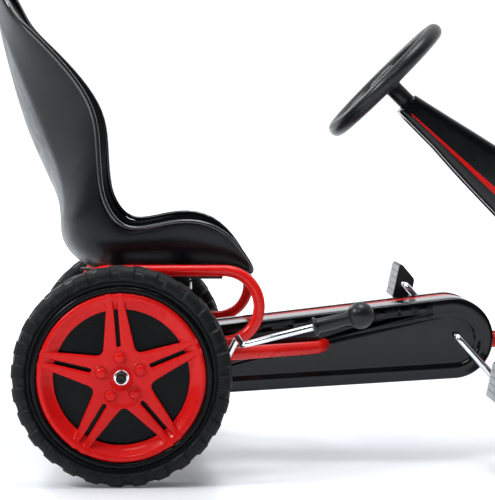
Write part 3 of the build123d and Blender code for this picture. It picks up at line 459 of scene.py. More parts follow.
def slot_half(r):
    if r < SLOT_END_R:
        return 1.2
    into = r - SLOT_END_R
    if into < SLOT_HALF_WIDTH:
        return sqrt(SLOT_HALF_WIDTH ** 2 - (SLOT_HALF_WIDTH - into) ** 2)
    return SLOT_HALF_WIDTH + stops(r, [(80, 0), (93, 1.3)])


def cover(place, body, x, turn, radius, half_width, y):
    """Five-spoke wheel cover: rounded windows, slotted spokes, a dished and lipped rim."""
    k = radius / REAR_R
    centre = at(x, y, radius)
    points, faces, lookup = [], [], {}

    def add(r, angle, depth):
        key = (round(r, 3), round(angle, 4), round(depth, 3))
        if key not in lookup:
            lookup[key] = len(points)
            px, pz = on_circle((0, 0), r * k, angle + 90 + SPOKE_LEAN)
            points.append(centre + Vector((px, turn * (half_width - depth), pz)) * MM)
        return lookup[key]

    first_window = next(r for r in np.arange(WINDOW_APEX, WINDOW_R, 0.05) if window_edge(r))
    spread = (0.0, 0.12, 0.4, 0.7, 0.9, 1.0)
    rows = []
    for r in (9.0, 9.5, 10.5, 12, 13.5, 15, 18, 22, 26, 30, 33, 34.8, SLOT_END_R, 36.3, 37.0, 38.0, 39.4,
              first_window + 6, 46, 50, 55, 60, 65, 70, 74, 77, 79, WINDOW_R):
        full = r * sin(radians(min(window_edge(r) or 36.0, 36.0)))
        slot = slot_half(r)
        widths = [0.0, slot] + [slot + (full - slot) * s for s in spread[1:]]
        angles = [degrees(asin(w / r)) for w in widths]
        crown = 0.5 if r > first_window else 0.0
        depths = [stops(r, RAIL_DEPTH)] * len(widths)
        depths[1] += 0.45 if SLOT_END_R <= r else 0.0
        depths[-1] += crown
        rows.append((r, angles, depths))
    rim = []
    for r in (WINDOW_R, 80.6, 82, 84, 86, 88, 90, 91.5, 92.6, 93.5, 94.5, 95.5, 97, 98.2, 99.0, 99.5):
        low, high = stops(r, RIM_DEPTH), min(stops(r, RAIL_DEPTH), stops(r, RIM_DEPTH))
        slot, full = slot_half(r), stops(r, RAIL_OUTER)
        widths = [0.0, slot - 0.5, slot] + [slot + (full - slot) * s for s in spread[1:]] + [full + 0.6]
        depths = [low, low, high + 0.3] + [high] * (len(spread) - 2) + [high + 0.3, low]
        rim.append((r, [degrees(asin(w / r)) for w in widths], depths))

    arc_steps = 8
    for sector in range(SPOKES):
        for mirror in (1, -1):
            def vertex(row, column):
                return add(row[0], 72 * sector + mirror * row[1][column], row[2][column])

            for below, above in zip(rows, rows[1:]):
                for column in range(len(spread)):
                    if column == 0 and above[0] > SLOT_END_R:
                        continue
                    faces.append((vertex(below, column), vertex(below, column + 1),
                                  vertex(above, column + 1), vertex(above, column)))
            last, first = rows[-1], rim[0]
            for column in range(1, len(spread)):
                faces.append((vertex(last, column), vertex(last, column + 1),
                              vertex(first, column + 2), vertex(first, column + 1)))
            for below, above in zip(rim, rim[1:]):
                for column in range(len(spread) + 2):
                    faces.append((vertex(below, column), vertex(below, column + 1),
                                  vertex(above, column + 1), vertex(above, column)))
                shares = [step / arc_steps for step in range(arc_steps + 1)]
                for start, stop in zip(shares, shares[1:]):
                    corners = []
                    for row, share in ((below, start), (below, stop), (above, stop), (above, start)):
                        angle = row[1][-1] + (36.0 - row[1][-1]) * share
                        corners.append(add(row[0], 72 * sector + mirror * angle, row[2][-1]))
                    faces.append(tuple(corners))
    faces = [tuple(dict.fromkeys(face)) for face in faces]
    faces = [face for face in faces if len(face) > 2]
    obj = piece(f"{place}_spoke_cover", points, faces, "red_gloss", body, (f"{place}_wheel_cover",),
                radians(45))
    work = bmesh.new()
    work.from_mesh(obj.data)
    bmesh.ops.remove_doubles(work, verts=work.verts, dist=0.00006)
    for drop in (0.7, 1.4, 3.0):
        rim_edges = [e for e in work.edges if e.is_boundary]
        made = bmesh.ops.extrude_edge_only(work, edges=rim_edges)["geom"]
        moved = [g for g in made if isinstance(g, bmesh.types.BMVert)]
        bmesh.ops.translate(work, verts=moved, vec=Vector((0, -turn * drop * MM, 0)))
    bmesh.ops.recalc_face_normals(work, faces=work.faces)
    work.to_mesh(obj.data)
    work.free()
    fine = obj.modifiers.new("subdivide", "SUBSURF")
    fine.levels = fine.render_levels = 1
    shade(obj, radians(60))


def core(place, body, x, turn, radius, half_width, y):
    """Black wheel centre seen through the windows, with the glossy bead ring outside it."""
    k = radius / REAR_R
    h = half_width
    profile = [
        (-h, 6.1), (h - 9, 6.1), (h - 9, 15), (h - 11, 16.5), (h - 17, 18), (h - 17.4, 22),
        (h - 17.8, 90), (h - 15, 93), (h - 6.6, 93.4), (h - 6.4, 99.4), (h - 3.6, 99.7),
        (h - 1.9, 100.5), (h - 0.9, 101.9), (h - 0.6, 103.6), (h - 1.0, 105.2), (h - 2.2, 106.7),
        (h - 4.2, 107.6), (h - 8, 107.9), (8 - h, 107.9), (4.2 - h, 107.6), (2.2 - h, 106.7),
        (1.0 - h, 105.2), (0.6 - h, 103.6), (0.9 - h, 101.9), (1.9 - h, 100.5), (2.4 - h, 98.6),
        (2.4 - h, 95), (3 - h, 94), (h - 22, 94), (h - 21, 90), (h - 21, 19), (h - 24, 17),
        (1 - h, 16), (-h, 15)]
    scaled = [(along, r if r < 7 else r * k) for along, r in profile]
    lathe(f"{place}_centre", scaled, at(x, y, radius), Vector((0, turn, 0)), "core_plastic", body,
          (f"{place}_wheel_core",), 144, radians(30))


def bolts(place, body, x, turn, radius, half_width, y):
    """Five domed bolt heads on the hub, joined in one piece."""
    k = radius / REAR_R
    face = half_width - 3.9
    profile = [(face - 1.0, 9.0), (face + 0.6, 8.9), (face + 0.9, 8.5), (face + 0.9, 8.1), (face + 0.6, 7.6),
               (face - 0.7, 7.3), (face - 0.7, 6.7), (face + 0.5, 6.5), (face + 1.6, 6.1), (face + 2.4, 5.2),
               (face + 2.9, 3.9), (face + 3.1, 2.2), (face + 3.15, 0.02)]
    segments = 30
    points, faces = [], []
    for spoke in range(SPOKES):
        bx, bz = on_circle((x, radius), BOLT_CIRCLE_R * k, 90 + SPOKE_LEAN + 72 * spoke)
        first = len(points)
        for along, r in profile:
            for step in range(segments):
                phi = 2 * pi * step / segments
                points.append(at(bx + r * k * cos(phi), y + turn * along, bz + r * k * sin(phi)))
        faces += grid_faces(len(profile), segments, closed_columns=True, first=first)
    piece(f"{place}_bolt_heads", points, faces, "red_gloss", body, (f"{place}_cover_bolts",),
          radians(35))


def axle_end(name, body, node, x, z, y_face, turn):
    """Chrome lock nut with a washer face and the dark end of the axle inside it."""
    washer = [(0, 6.05), (0, 9.0), (0.9, 9.2), (1.3, 8.8), (1.3, 6.05)]
    lathe(f"{name}_washer", [(a - 0.6, r) for a, r in washer], at(x, y_face, z), Vector((0, turn, 0)),
          "chrome", body, (), 64)
    points, faces = [], []
    profile = [(0.7, 7.4), (1.0, 8.4), (5.0, 8.4), (5.9, 7.7), (6.3, 6.6), (6.3, 6.05), (0.7, 6.05)]
    segments = 72
    for along, r in profile:
        for step in range(segments):
            phi = 2 * pi * step / segments
            flat = cos(((phi + pi / 6) % (pi / 3)) - pi / 6)
            hexed = min(r, 7.45 / flat) if r > 7 else r
            points.append(at(x + hexed * cos(phi), y_face + turn * along, z + hexed * sin(phi)))
    faces = grid_faces(len(profile), segments, closed_rows=True, closed_columns=True)
    piece(name, points, faces, "chrome", body, (node,), radians(30))
    reach = AXLE_TIP_Y - abs(y_face) if x == 0 else 9.8
    lathe(f"{name}_cap", [(6.0, 6.02), (6.0, 6.25), (reach - 1.2, 6.25), (reach - 0.3, 5.6), (reach, 4.4),
                          (reach, 3.0), (reach - 0.2, 2.6), (reach - 0.2, 0.02), (reach - 0.6, 0.02),
                          (reach - 0.6, 6.02)],
          at(x, y_face, z), Vector((0, turn, 0)), "black_paint", body, (), 48, radians(30))


WHEELS = [
    ("rear_right", "rear_axle", -1), ("rear_left", "rear_left_wheel", 1),
    ("front_right", "front_right_wheel", -1), ("front_left", "front_left_wheel", 1),
]
for place, body, turn in WHEELS:
    low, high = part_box(f"{place}_tyre")
    radius = (high.z - low.z) / 2 / MM
    half_width = (high.y - low.y) / 2 / MM
    y = (high.y + low.y) / 2 / MM
    x = (high.x + low.x) / 2 / MM - AXLE_X / MM
    for maker in (tyre, cover, core, bolts):
        maker(place, body, x, turn, radius, half_width, y)

for side, turn in SIDES.items():
    axle_end(f"axle_nut_{side}", "rear_axle", "rear_axle_nuts", 0, REAR_R, turn * 261, turn)
for side, turn in SIDES.items():
    axle_end(f"front_nut_{side}", f"knuckle_{side}", f"stub_nut_{side}", WHEELBASE, FRONT_R, turn * 261.6,
             turn)

# ---------------------------------------------------------------- seat
# Stations along the bucket: outer point on the middle line, rim point, rim half width.
SEAT_STATIONS = [
    (154, 241, 157, 254, 166), (122, 241, 125, 297, 175), (60, 243, 80, 312, 176),
    (5, 245, 34, 302, 176), (-45, 249, 2, 300, 176), (-77, 278, -19, 324, 174),
    (-84, 325, -28, 355, 172), (-99, 362, -30, 404, 171), (-121, 411, -36, 446, 170),
    (-137, 460, -64, 490, 169), (-151, 515, -107, 535, 166), (-160, 560, -133, 560, 160),
    (-165, 596, -148, 594, 140), (-168, 614, -160, 614, 98),
]
BOXINESS = 2.0 / 3.2
SEAT_WALL = 4.0
RIDGE_SHARE, RIDGE_DEPTH = 0.70, 0.74     # where the back turns into the sides
RIDGE_SNAP = 0.021                        # columns this near to the ridge are moved onto it


def smooth_run(values, steps):
    """A curve through rows of numbers, with the given steps between each two."""
    values = np.array(values, float)
    padded = np.vstack([2 * values[0] - values[1], values, 2 * values[-1] - values[-2]])
    run = []
    for index in range(1, len(padded) - 2):
        a, b, c, d = padded[index - 1:index + 3]
        for step in range(steps):
            t = step / steps
            run.append(0.5 * (2 * b + (c - a) * t + (2 * a - 5 * b + 4 * c - d) * t ** 2
                              + (3 * b - a - 3 * c + d) * t ** 3))
    run.append(padded[-2])
    return run


def seat():
    half_wall = SEAT_WALL / 2
    columns = 49
    points, rows = [], smooth_run(SEAT_STATIONS, 4)
    for ox, oz, px, pz, half in rows:
        reach = sqrt((ox - px) ** 2 + (oz - pz) ** 2)
        inner = (reach - half_wall) / reach
        ridged = stops(oz, [(296, 0), (350, 1), (575, 1), (606, 0)])
        for step in range(columns):
            angle = pi * step / (columns - 1)
            share = abs(cos(angle)) ** BOXINESS * (1 if cos(angle) > 0 else -1)
            if abs(abs(share) - RIDGE_SHARE) < RIDGE_SNAP:
                share = RIDGE_SHARE if share > 0 else -RIDGE_SHARE
            depth = max(1 - abs(share) ** (2 / BOXINESS), 0.0) ** (BOXINESS / 2)
            if abs(share) > RIDGE_SHARE:
                creased = RIDGE_DEPTH * max((1 - abs(share)) / (1 - RIDGE_SHARE), 0.0) ** 0.72
            else:
                creased = 1 - (1 - RIDGE_DEPTH) * (abs(share) / RIDGE_SHARE) ** 2
            depth = (depth + (creased - depth) * ridged) * inner
            points.append(at(px + (ox - px) * depth, (half - half_wall) * share,
                             pz + (oz - pz) * depth))
    faces = grid_faces(len(rows), columns)
    piece("seat_bucket", points, faces, "seat_plastic", "seat", ("seat_shell",), radians(60),
          subdivide=1, thick=SEAT_WALL, offset=0.0)
    count = len(rows)
    border = [points[row * columns] for row in range(count)]
    border += [points[(count - 1) * columns + column] for column in range(1, columns)]
    border += [points[row * columns + columns - 1] for row in range(count - 2, -1, -1)]
    border += [points[column] for column in range(columns - 2, 0, -1)]
    for _ in range(6):
        border = [border[i - 1] * 0.25 + border[i] * 0.5 + border[(i + 1) % len(border)] * 0.25
                  for i in range(len(border))]
    tube("seat_rolled_rim", border, 2.9, "seat_edge", "seat", (), 20, closed=True)


seat()

# ---------------------------------------------------------------- chain guard
GUARD_FRONT, GUARD_FRONT_R = (414.0, 157.6), 50.0
GUARD_REAR, GUARD_REAR_R = (-4.0, 121.2), 38.0
GUARD_STEPS = 40
GUARD_FOLD = 1.2                # the recessed face stands out this much along its middle


def guard_ring(inset, steps=GUARD_STEPS):
    """Outline of the guard, moved in by inset: two round ends and two straight edges."""
    run, rise = GUARD_FRONT[0] - GUARD_REAR[0], GUARD_FRONT[1] - GUARD_REAR[1]
    lean = degrees(atan2(rise, run))
    taper = degrees(asin((GUARD_FRONT_R - GUARD_REAR_R) / sqrt(run ** 2 + rise ** 2)))
    top, bottom = 90 + lean + taper, -90 + lean - taper
    ring = [on_circle(GUARD_FRONT, GUARD_FRONT_R - inset, top + (bottom - top) * i / steps)
            for i in range(steps + 1)]
    rear = [on_circle(GUARD_REAR, GUARD_REAR_R - inset, bottom + (top - 360 - bottom) * i / steps)
            for i in range(steps + 1)]
    for begin, end in ((ring[-1], rear[0]), (rear[-1], ring[0])):
        between = [(begin[0] + (end[0] - begin[0]) * i / steps, begin[1] + (end[1] - begin[1]) * i / steps)
                   for i in range(1, steps)]
        ring = ring + between + (rear if begin == ring[-1] else [])
    return ring


def guard(side_name, inner_y, outer_y):
    turn = SIDES[side_name]
    width = outer_y - inner_y
    profile = [(0, width), (0, width - 1), (0, width * 0.5), (0, 3.2), (0.15, 2.2), (0.6, 1.2), (1.2, 0.6),
               (2.2, 0.15), (3.2, 0), (13.2, 0), (14.4, 0.15), (15.4, 0.55), (16.4, 1.15), (17.4, 1.55),
               (18.6, 1.7), (20, 1.7), (22.5, 1.7)]
    points = []
    for inset, depth in profile:
        for x, z in guard_ring(inset):
            points.append(at(x, turn * (outer_y - depth), z))
    columns = len(points) // len(profile)
    faces = grid_faces(len(profile), columns, closed_columns=True)
    last = (len(profile) - 1) * columns
    nose = GUARD_STEPS // 2
    pairs = [(last + (nose - j) % columns, last + (nose + j) % columns) for j in range(columns // 2 + 1)]
    spine = []
    for upper, lower in pairs[1:-1]:
        spine.append(len(points))
        fold = Vector((0, turn * GUARD_FOLD * MM, 0))
        points.append((points[upper] + points[lower]) / 2 + fold)
    spine = [pairs[0][0]] + spine + [pairs[-1][0]]
    for (u0, l0), (u1, l1), m0, m1 in zip(pairs, pairs[1:], spine, spine[1:]):
        faces += [tuple(dict.fromkeys((u0, m0, m1, u1))), tuple(dict.fromkeys((m0, l0, l1, m1)))]
    piece(f"guard_shell_{side_name}", points, faces, "black_gloss", "frame",
          (f"chain_guard_{side_name}",), radians(26), thick=2.4, offset=0.0)


guard("right", 22.0 + 1.2, 75.0 - 1.2)
guard("left", 22.0 + 1.2, 40.0 - 1.2)

# ---------------------------------------------------------------- fairing
FAIRING_STATIONS = [
    (374, 464, 352, 442), (388, 455, 362, 432), (420, 435, 396, 398), (446, 419, 421, 370),
    (473, 402, 446, 343), (505, 382, 473, 315), (540, 360, 505, 281), (570, 341, 528, 257),
    (600, 322, 552, 232), (625, 305, 575, 212), (650, 287, 600, 206), (675, 269, 630, 205),
    (700, 250, 660, 204), (725, 229, 700, 182), (745, 211, 707, 150), (768, 188, 709, 120),
    (783, 172, 722, 90), (795, 156, 760, 90), (806, 142, 785, 91.3), (812, 124, 800, 92),
]
FAIRING_PLAN = [(345, 21), (473, 25), (600, 38), (700, 58), (768, 74), (796, 70), (812, 46)]
FAIRING_WALL = 2.5
NOSE_FROM_X = 706.0


def fairing():
    half_wall = FAIRING_WALL / 2
    points = []
    closed_rows = []
    for tx, tz, bx, bz in FAIRING_STATIONS:
        down = Vector((bx - tx, 0, bz - tz))
        depth = down.length
        down.normalize()
        lip = 1.0 if bx >= NOSE_FROM_X or bx < 356 else 0.16
        closed_rows.append(lip == 1.0)
        corner = min(9.0, depth * 0.3)
        foot = min(5.0, depth * 0.2)
        section = []
        wide_low = stops(bx, FAIRING_PLAN) - half_wall
        for share in (0.0, 0.3, 0.6, 1.0):
            section.append((wide_low - foot - (wide_low - foot) * lip * (1 - share), depth - half_wall))
        for angle in (75, 60, 45, 30, 15, 0):
            section.append((("low", foot, cos(radians(angle))), depth - half_wall - foot
                            + foot * sin(radians(angle))))
        for share in (0.15, 0.3, 0.45, 0.6, 0.75, 0.9):
            section.append((("side", 0, 0), depth - half_wall - foot
                            - (depth - 2 * half_wall - foot - corner) * share))
        for angle in (0, 15, 30, 45, 60, 75, 90):
            section.append((("top", corner, cos(radians(angle))), half_wall + corner
                            - corner * sin(radians(angle))))
        wide_top = stops(tx, FAIRING_PLAN) - half_wall
        crown = min(2.0, wide_top * 0.05)
        for share in (0.25, 0.5, 0.75):
            section.append(((wide_top - corner) * (1 - share), half_wall - crown * (1 - (1 - share) ** 2)))
        section.append((0.0, half_wall - crown))
        line = []
        for across, level in section:
            px, pz = tx + down.x * level, tz + down.z * level
            if isinstance(across, tuple):
                kind, size, bulge = across
                full = stops(px, FAIRING_PLAN) - half_wall
                across = full if kind == "side" else full - size + size * bulge
            line.append((px, across, pz))
        points.append([at(px, -w, pz) for px, w, pz in line]
                      + [at(px, w, pz) for px, w, pz in reversed(line[:-1])])
    columns = len(points[0])

    def shrunk(ring, share, push):
        middle = sum(ring, Vector()) / len(ring)
        return [middle + (point - middle) * share + push for point in ring]

    nose = Vector((1.0, 0, 0.15)) * MM
    ends = [shrunk(points[-1], share, nose * reach) for share, reach in
            ((0.97, 1.2), (0.9, 2.2), (0.75, 2.8), (0.5, 3.0), (0.2, 3.0), (0.01, 3.0))]
    upper = Vector((-0.7, 0, 0.7)) * MM
    begins = [shrunk(points[0], share, upper * reach) for share, reach in
              ((0.62, 1.6), (0.75, 1.6), (0.88, 1.5), (0.95, 1.2), (0.985, 0.6))]
    rings = begins + points + ends
    closed = [True] * len(begins) + closed_rows + [True] * len(ends)
    flat = [p for ring in rings for p in ring]
    faces = grid_faces(len(rings), columns)
    for row in range(len(rings) - 1):
        if closed[row] and closed[row + 1]:
            faces.append((row * columns + columns - 1, row * columns,
                          (row + 1) * columns, (row + 1) * columns + columns - 1))
    piece("fairing_shell", flat, faces, "black_gloss", "frame", ("fairing_right", "fairing_left"),
          radians(35), thick=FAIRING_WALL, offset=0.0)


fairing()

# ---------------------------------------------------------------- bent tubes
RAIL_BENDS = [60, 18, 22]
LOOP_Z, LOOP_BEND_R, LOOP_REAR_X, LOOP_FRONT_X = 208.0, 43.0, -16.0, 121.0

for side, turn in SIDES.items():
    corners = [(-66, 193, 150), (122, 193, 150), (240, 108, 150), (250, 75, 150), (250, 0.5, 150)]
    path = rounded_path([at(x, turn * y, z) for x, y, z in corners], RAIL_BENDS)
    tube(f"rail_{side}", path, 8, "red_paint", "frame", (f"side_rail_{side}",), 36)
    loop = [at(LOOP_REAR_X + (LOOP_FRONT_X - LOOP_REAR_X) * i / 12, turn * 193, LOOP_Z + LOOP_BEND_R)
            for i in range(1, 12)]
    for end_x, start in ((LOOP_FRONT_X, 90), (LOOP_REAR_X, -90)):
        for step in range(49):
            x, z = on_circle((end_x, LOOP_Z), LOOP_BEND_R, start - 180 * step / 48)
            loop.append(at(x, turn * 193, z))
        if start == 90:
            loop += [at(LOOP_FRONT_X + (LOOP_REAR_X - LOOP_FRONT_X) * i / 12, turn * 193,
                        LOOP_Z - LOOP_BEND_R) for i in range(1, 12)]
    tube(f"seat_hoop_{side}", loop, 7, "red_paint", "frame", (f"seat_loop_{side}",), 32, closed=True)

CRANK_ROUTE = [(467.2, -191.5, 105.8), (467.2, -86, 105.8), (417, -86, 161.5), (417, 58, 161.5),
               (366.8, 58, 217.2), (366.8, 163.5, 217.2)]
tube("crank_rod", rounded_path([at(*p) for p in CRANK_ROUTE], [9] * 4), 4.5, "chrome", "crank",
     ("crank",), 32, cap=0.8)

BALL = (280.0, -262.0, 202.3)
HANDLE_FOOT = (142.4, -262.0, 168.0)
BRAKE_ROUTE = [BALL, HANDLE_FOOT, (137.8, -206.5, 172), (117.3, -206.5, 133), (117.3, 206.5, 133),
               (137.8, 206.5, 172), (142.4, 262, 168)]
tube("brake_rod", rounded_path([at(*p) for p in BRAKE_ROUTE], [6, 5, 5, 5, 5]), 4, "chrome", "brake",
     ("brake_lever",), 28, cap=0.8)

heading = at(*BALL) - at(*HANDLE_FOOT)
reach = heading.length / MM
grip_from = 0.60 * reach
BALL_R = 16.0
neck = 7.8
meet = sqrt(BALL_R ** 2 - neck ** 2)
grip_profile = [(grip_from, 4.05), (grip_from, 9.6), (grip_from + 0.6, 10.8), (grip_from + 1.6, 11.4),
                (grip_from + 2.6, 11.4), (grip_from + 3.6, 10.9), (grip_from + 4.4, 9.6),
                (grip_from + 5.4, 8.8), (grip_from + 7, 8.6), (grip_from + 20, 8.3),
                (reach - meet - 4, 7.8), (reach - meet - 1.5, 8.1)]
grip_profile += [(reach - BALL_R * cos(radians(a)), BALL_R * sin(radians(a)))
                 for a in [32 + 148 * i / 24 for i in range(24)]]
grip_profile += [(reach + BALL_R, 0.02), (reach + BALL_R - 3, 0.02), (reach, 4.05)]
lathe("brake_handle_grip", grip_profile, at(*HANDLE_FOOT), heading, "grip_rubber", "brake",
      ("brake_grip",), 56, radians(40))

# ---------------------------------------------------------------- steering wheel
WHEEL_CENTRE = at(334, 0, 485)
STEER_SLOPE = radians(44.85)
COLUMN = Vector((cos(STEER_SLOPE), 0, -sin(STEER_SLOPE)))
ACROSS = Vector((0, 1, 0))
UPHILL = Vector((sin(STEER_SLOPE), 0, cos(STEER_SLOPE)))
RING_R, GRIP_R = 87.5, 10.0

ring_path = [WHEEL_CENTRE + (ACROSS * cos(a) + UPHILL * sin(a)) * RING_R * MM
             for a in [2 * pi * i / 144 for i in range(144)]]
tube("steering_ring", ring_path, GRIP_R, "grip_rubber", "steering", ("steering_rim",), 40, closed=True)

# Boss of the wheel: distance down the column from the wheel's centre, and radius.
BOSS_PROFILE = [(-4.5, 0.02), (-5.0, 9), (-7.0, 11), (-8.4, 13), (-8.6, 16), (-7.8, 18.6), (-6.0, 20.4),
                (-3.5, 21), (3.0, 21), (5.0, 20.4), (7.0, 18.5), (9.0, 15.5), (16.0, 11.2), (16.0, 8.6),
                (2.0, 8.6), (0.0, 0.02)]
lathe("steering_boss", BOSS_PROFILE, WHEEL_CENTRE, COLUMN, "black_paint", "steering", ("steering_hub",), 64,
      radians(35), closed=False)

# Section of a spoke: share of its half width, and level down the column.
SPOKE_SECTION = [(-1, 2.2), (-1, 0.2), (-0.93, -1.2), (-0.55, -1.6), (0, -0.9), (0.55, -1.6), (0.93, -1.2),
                 (1, 0.2), (1, 2.2), (0.9, 2.8), (0, 2.8), (-0.9, 2.8)]
SPOKE_FROM_R, SPOKE_HALF, SPOKE_WAIST, SPOKE_DIP = 17.0, 12.0, 2.6, 1.6
SPOKE_ROWS = 13


def spoke(number, angle):
    """A pressed spoke from the boss to the ring, narrowing and dipping along its way."""
    outward = UPHILL * cos(radians(angle)) + ACROSS * sin(radians(angle))
    sideways = COLUMN.cross(outward).normalized()
    count = len(SPOKE_SECTION)
    points = []
    for i in range(SPOKE_ROWS):
        share = i / (SPOKE_ROWS - 1)
        reach = SPOKE_FROM_R + (RING_R - GRIP_R + 2.5 - SPOKE_FROM_R) * share
        half = SPOKE_HALF - SPOKE_WAIST * sin(pi * share)
        sink = SPOKE_DIP * sin(pi * share)
        for across, level in SPOKE_SECTION:
            points.append(WHEEL_CENTRE + (outward * reach + sideways * half * across
                                          + COLUMN * (level + sink)) * MM)
    faces = grid_faces(SPOKE_ROWS, count, closed_columns=True)
    faces += [tuple(range(count)), tuple(range((SPOKE_ROWS - 1) * count, SPOKE_ROWS * count))]
    piece(f"steering_spoke_{number}", points, faces, "black_paint", "steering", (), radians(40))


for number, angle in enumerate((90, 270, 180), 1):
    spoke(number, angle)

# ---------------------------------------------------------------- pedals
# Wedge section: across the sole from the tread face, and along the foot.
PEDAL_SECTION = [(-10.8, -21.0), (-10.8, 23.5), (-7.0, 24.5), (11.5, 10.0), (13.0, 6.5), (13.0, -15.0),
                 (8.5, -21.0)]
PEDAL_LEAN = radians(12)
PADS_ALONG, PADS_ACROSS = 5, 8


def pedal(side_name):
    low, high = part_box(f"pedal_{side_name}")
    middle = (low + high) / 2
    half = (high.y - low.y) / 2
    along = Vector((sin(PEDAL_LEAN), 0, cos(PEDAL_LEAN)))
    through = Vector((cos(PEDAL_LEAN), 0, -sin(PEDAL_LEAN)))

    def place(across, up, y):
        return middle + through * across * MM + along * up * MM + Vector((0, y, 0))

    count = len(PEDAL_SECTION)
    points = [place(a, u, y) for y in (-half, half) for a, u in PEDAL_SECTION]
    faces = [(i, (i + 1) % count, count + (i + 1) % count, count + i) for i in range(count)]
    faces += [tuple(range(count)), tuple(range(count, 2 * count))]
    piece(f"pedal_block_{side_name}", points, faces, "pedal_plastic", f"pedal_{side_name}",
          (f"pedal_{side_name}",), radians(40), bevel=1.6)
    points, faces = [], []
    pad_y = 2 * half / MM / PADS_ACROSS
    pad_u = 42.0 / PADS_ALONG
    rise = [(0, 0.0), (0, 0.7), (0.4, 1.1), (1.0, 1.2)]
    for row in range(PADS_ALONG):
        for column in range(PADS_ACROSS):
            first = len(points)
            u0, y0 = -20 + pad_u * (row + 0.5), -half / MM + pad_y * (column + 0.5)
            for inset, height in rise:
                hu, hy = pad_u / 2 - 0.5 - inset, pad_y / 2 - 0.5 - inset
                for su, sy in ((-1, -1), (-1, 1), (1, 1), (1, -1)):
                    points.append(place(-10.8 + 0.3 - height, u0 + su * hu, (y0 + sy * hy) * MM))
            faces += grid_faces(len(rise), 4, closed_columns=True, first=first)
            faces += [tuple(first + i for i in range(4)),
                      tuple(first + 4 * (len(rise) - 1) + i for i in range(4))]
    piece(f"pedal_pads_{side_name}", points, faces, "tread_grey", f"pedal_{side_name}",
          (f"pedal_tread_{side_name}",), radians(30))


pedal("right")
pedal("left")

# ---------------------------------------------------------------- CAD pieces that stay
BEVELS = {"cross_member": 1.0, "axle_hangers": 0.6, "main_beam": 1.0,
          "seat_crossbars": 0.6, "seat_runners": 0.6, "pedal_caps": 0.9, "steering_tube": 0.8,
          "seat_bolts": 0.5, "guard_screws": 0.5, "chainring": 0.3, "rear_sprocket": 0.3,
          "knuckle_right": 0.6, "knuckle_left": 0.6, "track_rod": 0.6, "front_frame": 0.6,
          "steering_column": 0.6, "rear_axle": 0.8}
SLOT_OF = {part["node"]: part["material_slot"] for part in frame["record"]["subparts"]}
for node, obj in NODES.items():
    if not obj.hide_render:
        dress(node, SLOT_OF[node], BEVELS.get(node, 0.0))

# ---------------------------------------------------------------- studio
camera_data = bpy.data.cameras.new("camera")
camera = bpy.data.objects.new("camera", camera_data)
bpy.context.scene.collection.objects.link(camera)
camera_data.lens = 154.2
camera_data.clip_end = 60
camera.location = at(61.9, -2760, 405.8)
LOOK = Vector((73.5, 2142.0, -108.5))
camera.rotation_euler = LOOK.to_track_quat("-Z", "Y").to_euler()
bpy.context.scene.camera = camera

# The camera sees a white backdrop; the surfaces see a light that fades with direction.
world = bpy.data.worlds.new("studio")
bpy.context.scene.world = world
world.use_nodes = True
sky = world.node_tree
seen = sky.nodes.new("ShaderNodeBackground")
seen.inputs["Color"].default_value = (1, 1, 1, 1)
seen.inputs["Strength"].default_value = 1.05
lit = sky.nodes["Background"]
lit.inputs["Color"].default_value = (0.93, 0.965, 1, 1)
lit.inputs["Strength"].default_value = 1.0
heading_of = sky.nodes.new("ShaderNodeTexCoord")
lean_to = sky.nodes.new("ShaderNodeVectorMath")
lean_to.operation = "DOT_PRODUCT"
lean_to.inputs[1].default_value = (-0.15, 0.85, 0.42)
sky.links.new(heading_of.outputs["Generated"], lean_to.inputs[0])
fade = sky.nodes.new("ShaderNodeMapRange")
fade.interpolation_type = "SMOOTHSTEP"
for socket, value in (("From Min", -0.45), ("From Max", 0.75), ("To Min", 0.05), ("To Max", 1.0)):
    fade.inputs[socket].default_value = value
sky.links.new(lean_to.outputs["Value"], fade.inputs["Value"])
sky.links.new(fade.outputs["Result"], lit.inputs["Strength"])
rays = sky.nodes.new("ShaderNodeLightPath")
mixed = sky.nodes.new("ShaderNodeMixShader")
sky.links.new(rays.outputs["Is Camera Ray"], mixed.inputs["Fac"])
sky.links.new(lit.outputs["Background"], mixed.inputs[1])
sky.links.new(seen.outputs["Background"], mixed.inputs[2])
sky.links.new(mixed.outputs["Shader"], sky.nodes["World Output"].inputs["Surface"])

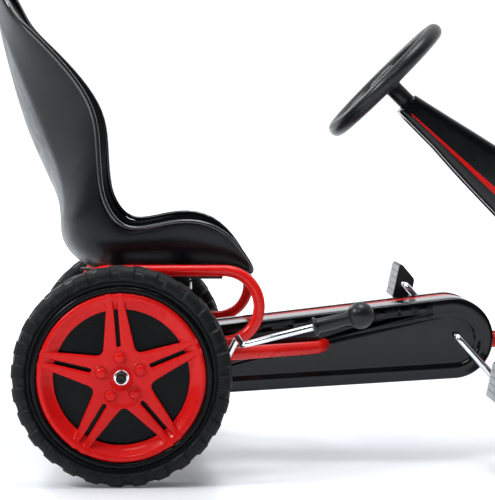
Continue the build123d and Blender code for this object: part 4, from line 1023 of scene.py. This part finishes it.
LAMPS = [
    ("key", (-1.7, -0.9, 1.6), 0.6, 24.0), ("top", (0.1, -0.3, 2.4), 1.2, 30.0),
    ("front", (-0.9, -2.3, 2.4), 0.9, 11.0), ("back", (-1.3, 1.5, 1.4), 1.0, 10.0),
]
for name, place, size, power in LAMPS:
    data = bpy.data.lights.new(name, "AREA")
    data.shape = "DISK"
    data.size = size
    data.energy = power
    lamp = bpy.data.objects.new(name, data)
    bpy.context.scene.collection.objects.link(lamp)
    lamp.location = place
    lamp.rotation_euler = (Vector((0, 0, 0.25)) - Vector(place)).to_track_quat("-Z", "Y").to_euler()

# A floor that glows with painted light, faintly near the kart and more strongly further out, so that it
# turns to the backdrop's white some way out from the kart.
FLOOR_R = 18.0
floor_mesh = bpy.data.meshes.new("floor")
floor_points = [(FLOOR_R * cos(2 * pi * i / 96), FLOOR_R * sin(2 * pi * i / 96), 0) for i in range(96)]
floor_mesh.from_pydata(floor_points, [], [tuple(range(96))])
floor = bpy.data.objects.new("floor", floor_mesh)
bpy.context.scene.collection.objects.link(floor)
_, floor_tree, floor_shader = new_material("studio_floor", (0.90, 0.93, 0.97), 0.2, specular=0.35)
floor_mesh.materials.append(MATERIALS["studio_floor"])
tinted(floor_tree, floor_shader, noise(floor_tree, 1.5, 2), (0.885, 0.918, 0.965), (0.90, 0.93, 0.972))
floor_tree.links.new(span(floor_tree, noise(floor_tree, 3, 2), 0.18, 0.24), floor_shader.inputs["Roughness"])
floor_shader.inputs["Emission Color"].default_value = (0.90, 0.955, 1, 1)
reach_out = floor_tree.nodes.new("ShaderNodeVectorMath")
reach_out.operation = "LENGTH"
floor_coords = floor_tree.nodes.new("ShaderNodeTexCoord")
floor_tree.links.new(floor_coords.outputs["Object"], reach_out.inputs[0])
# Painted light: the floor's glow grows from faint near the kart to nearly white further out.
glow = floor_tree.nodes.new("ShaderNodeMapRange")
glow.interpolation_type = "SMOOTHSTEP"
for socket, value in (("From Min", 0.3), ("From Max", 2.2), ("To Min", 0.09), ("To Max", 0.95)):
    glow.inputs[socket].default_value = value
floor_tree.links.new(reach_out.outputs["Value"], glow.inputs["Value"])
floor_tree.links.new(glow.outputs["Result"], floor_shader.inputs["Emission Strength"])

view = bpy.context.scene.view_settings
view.view_transform = "Standard"
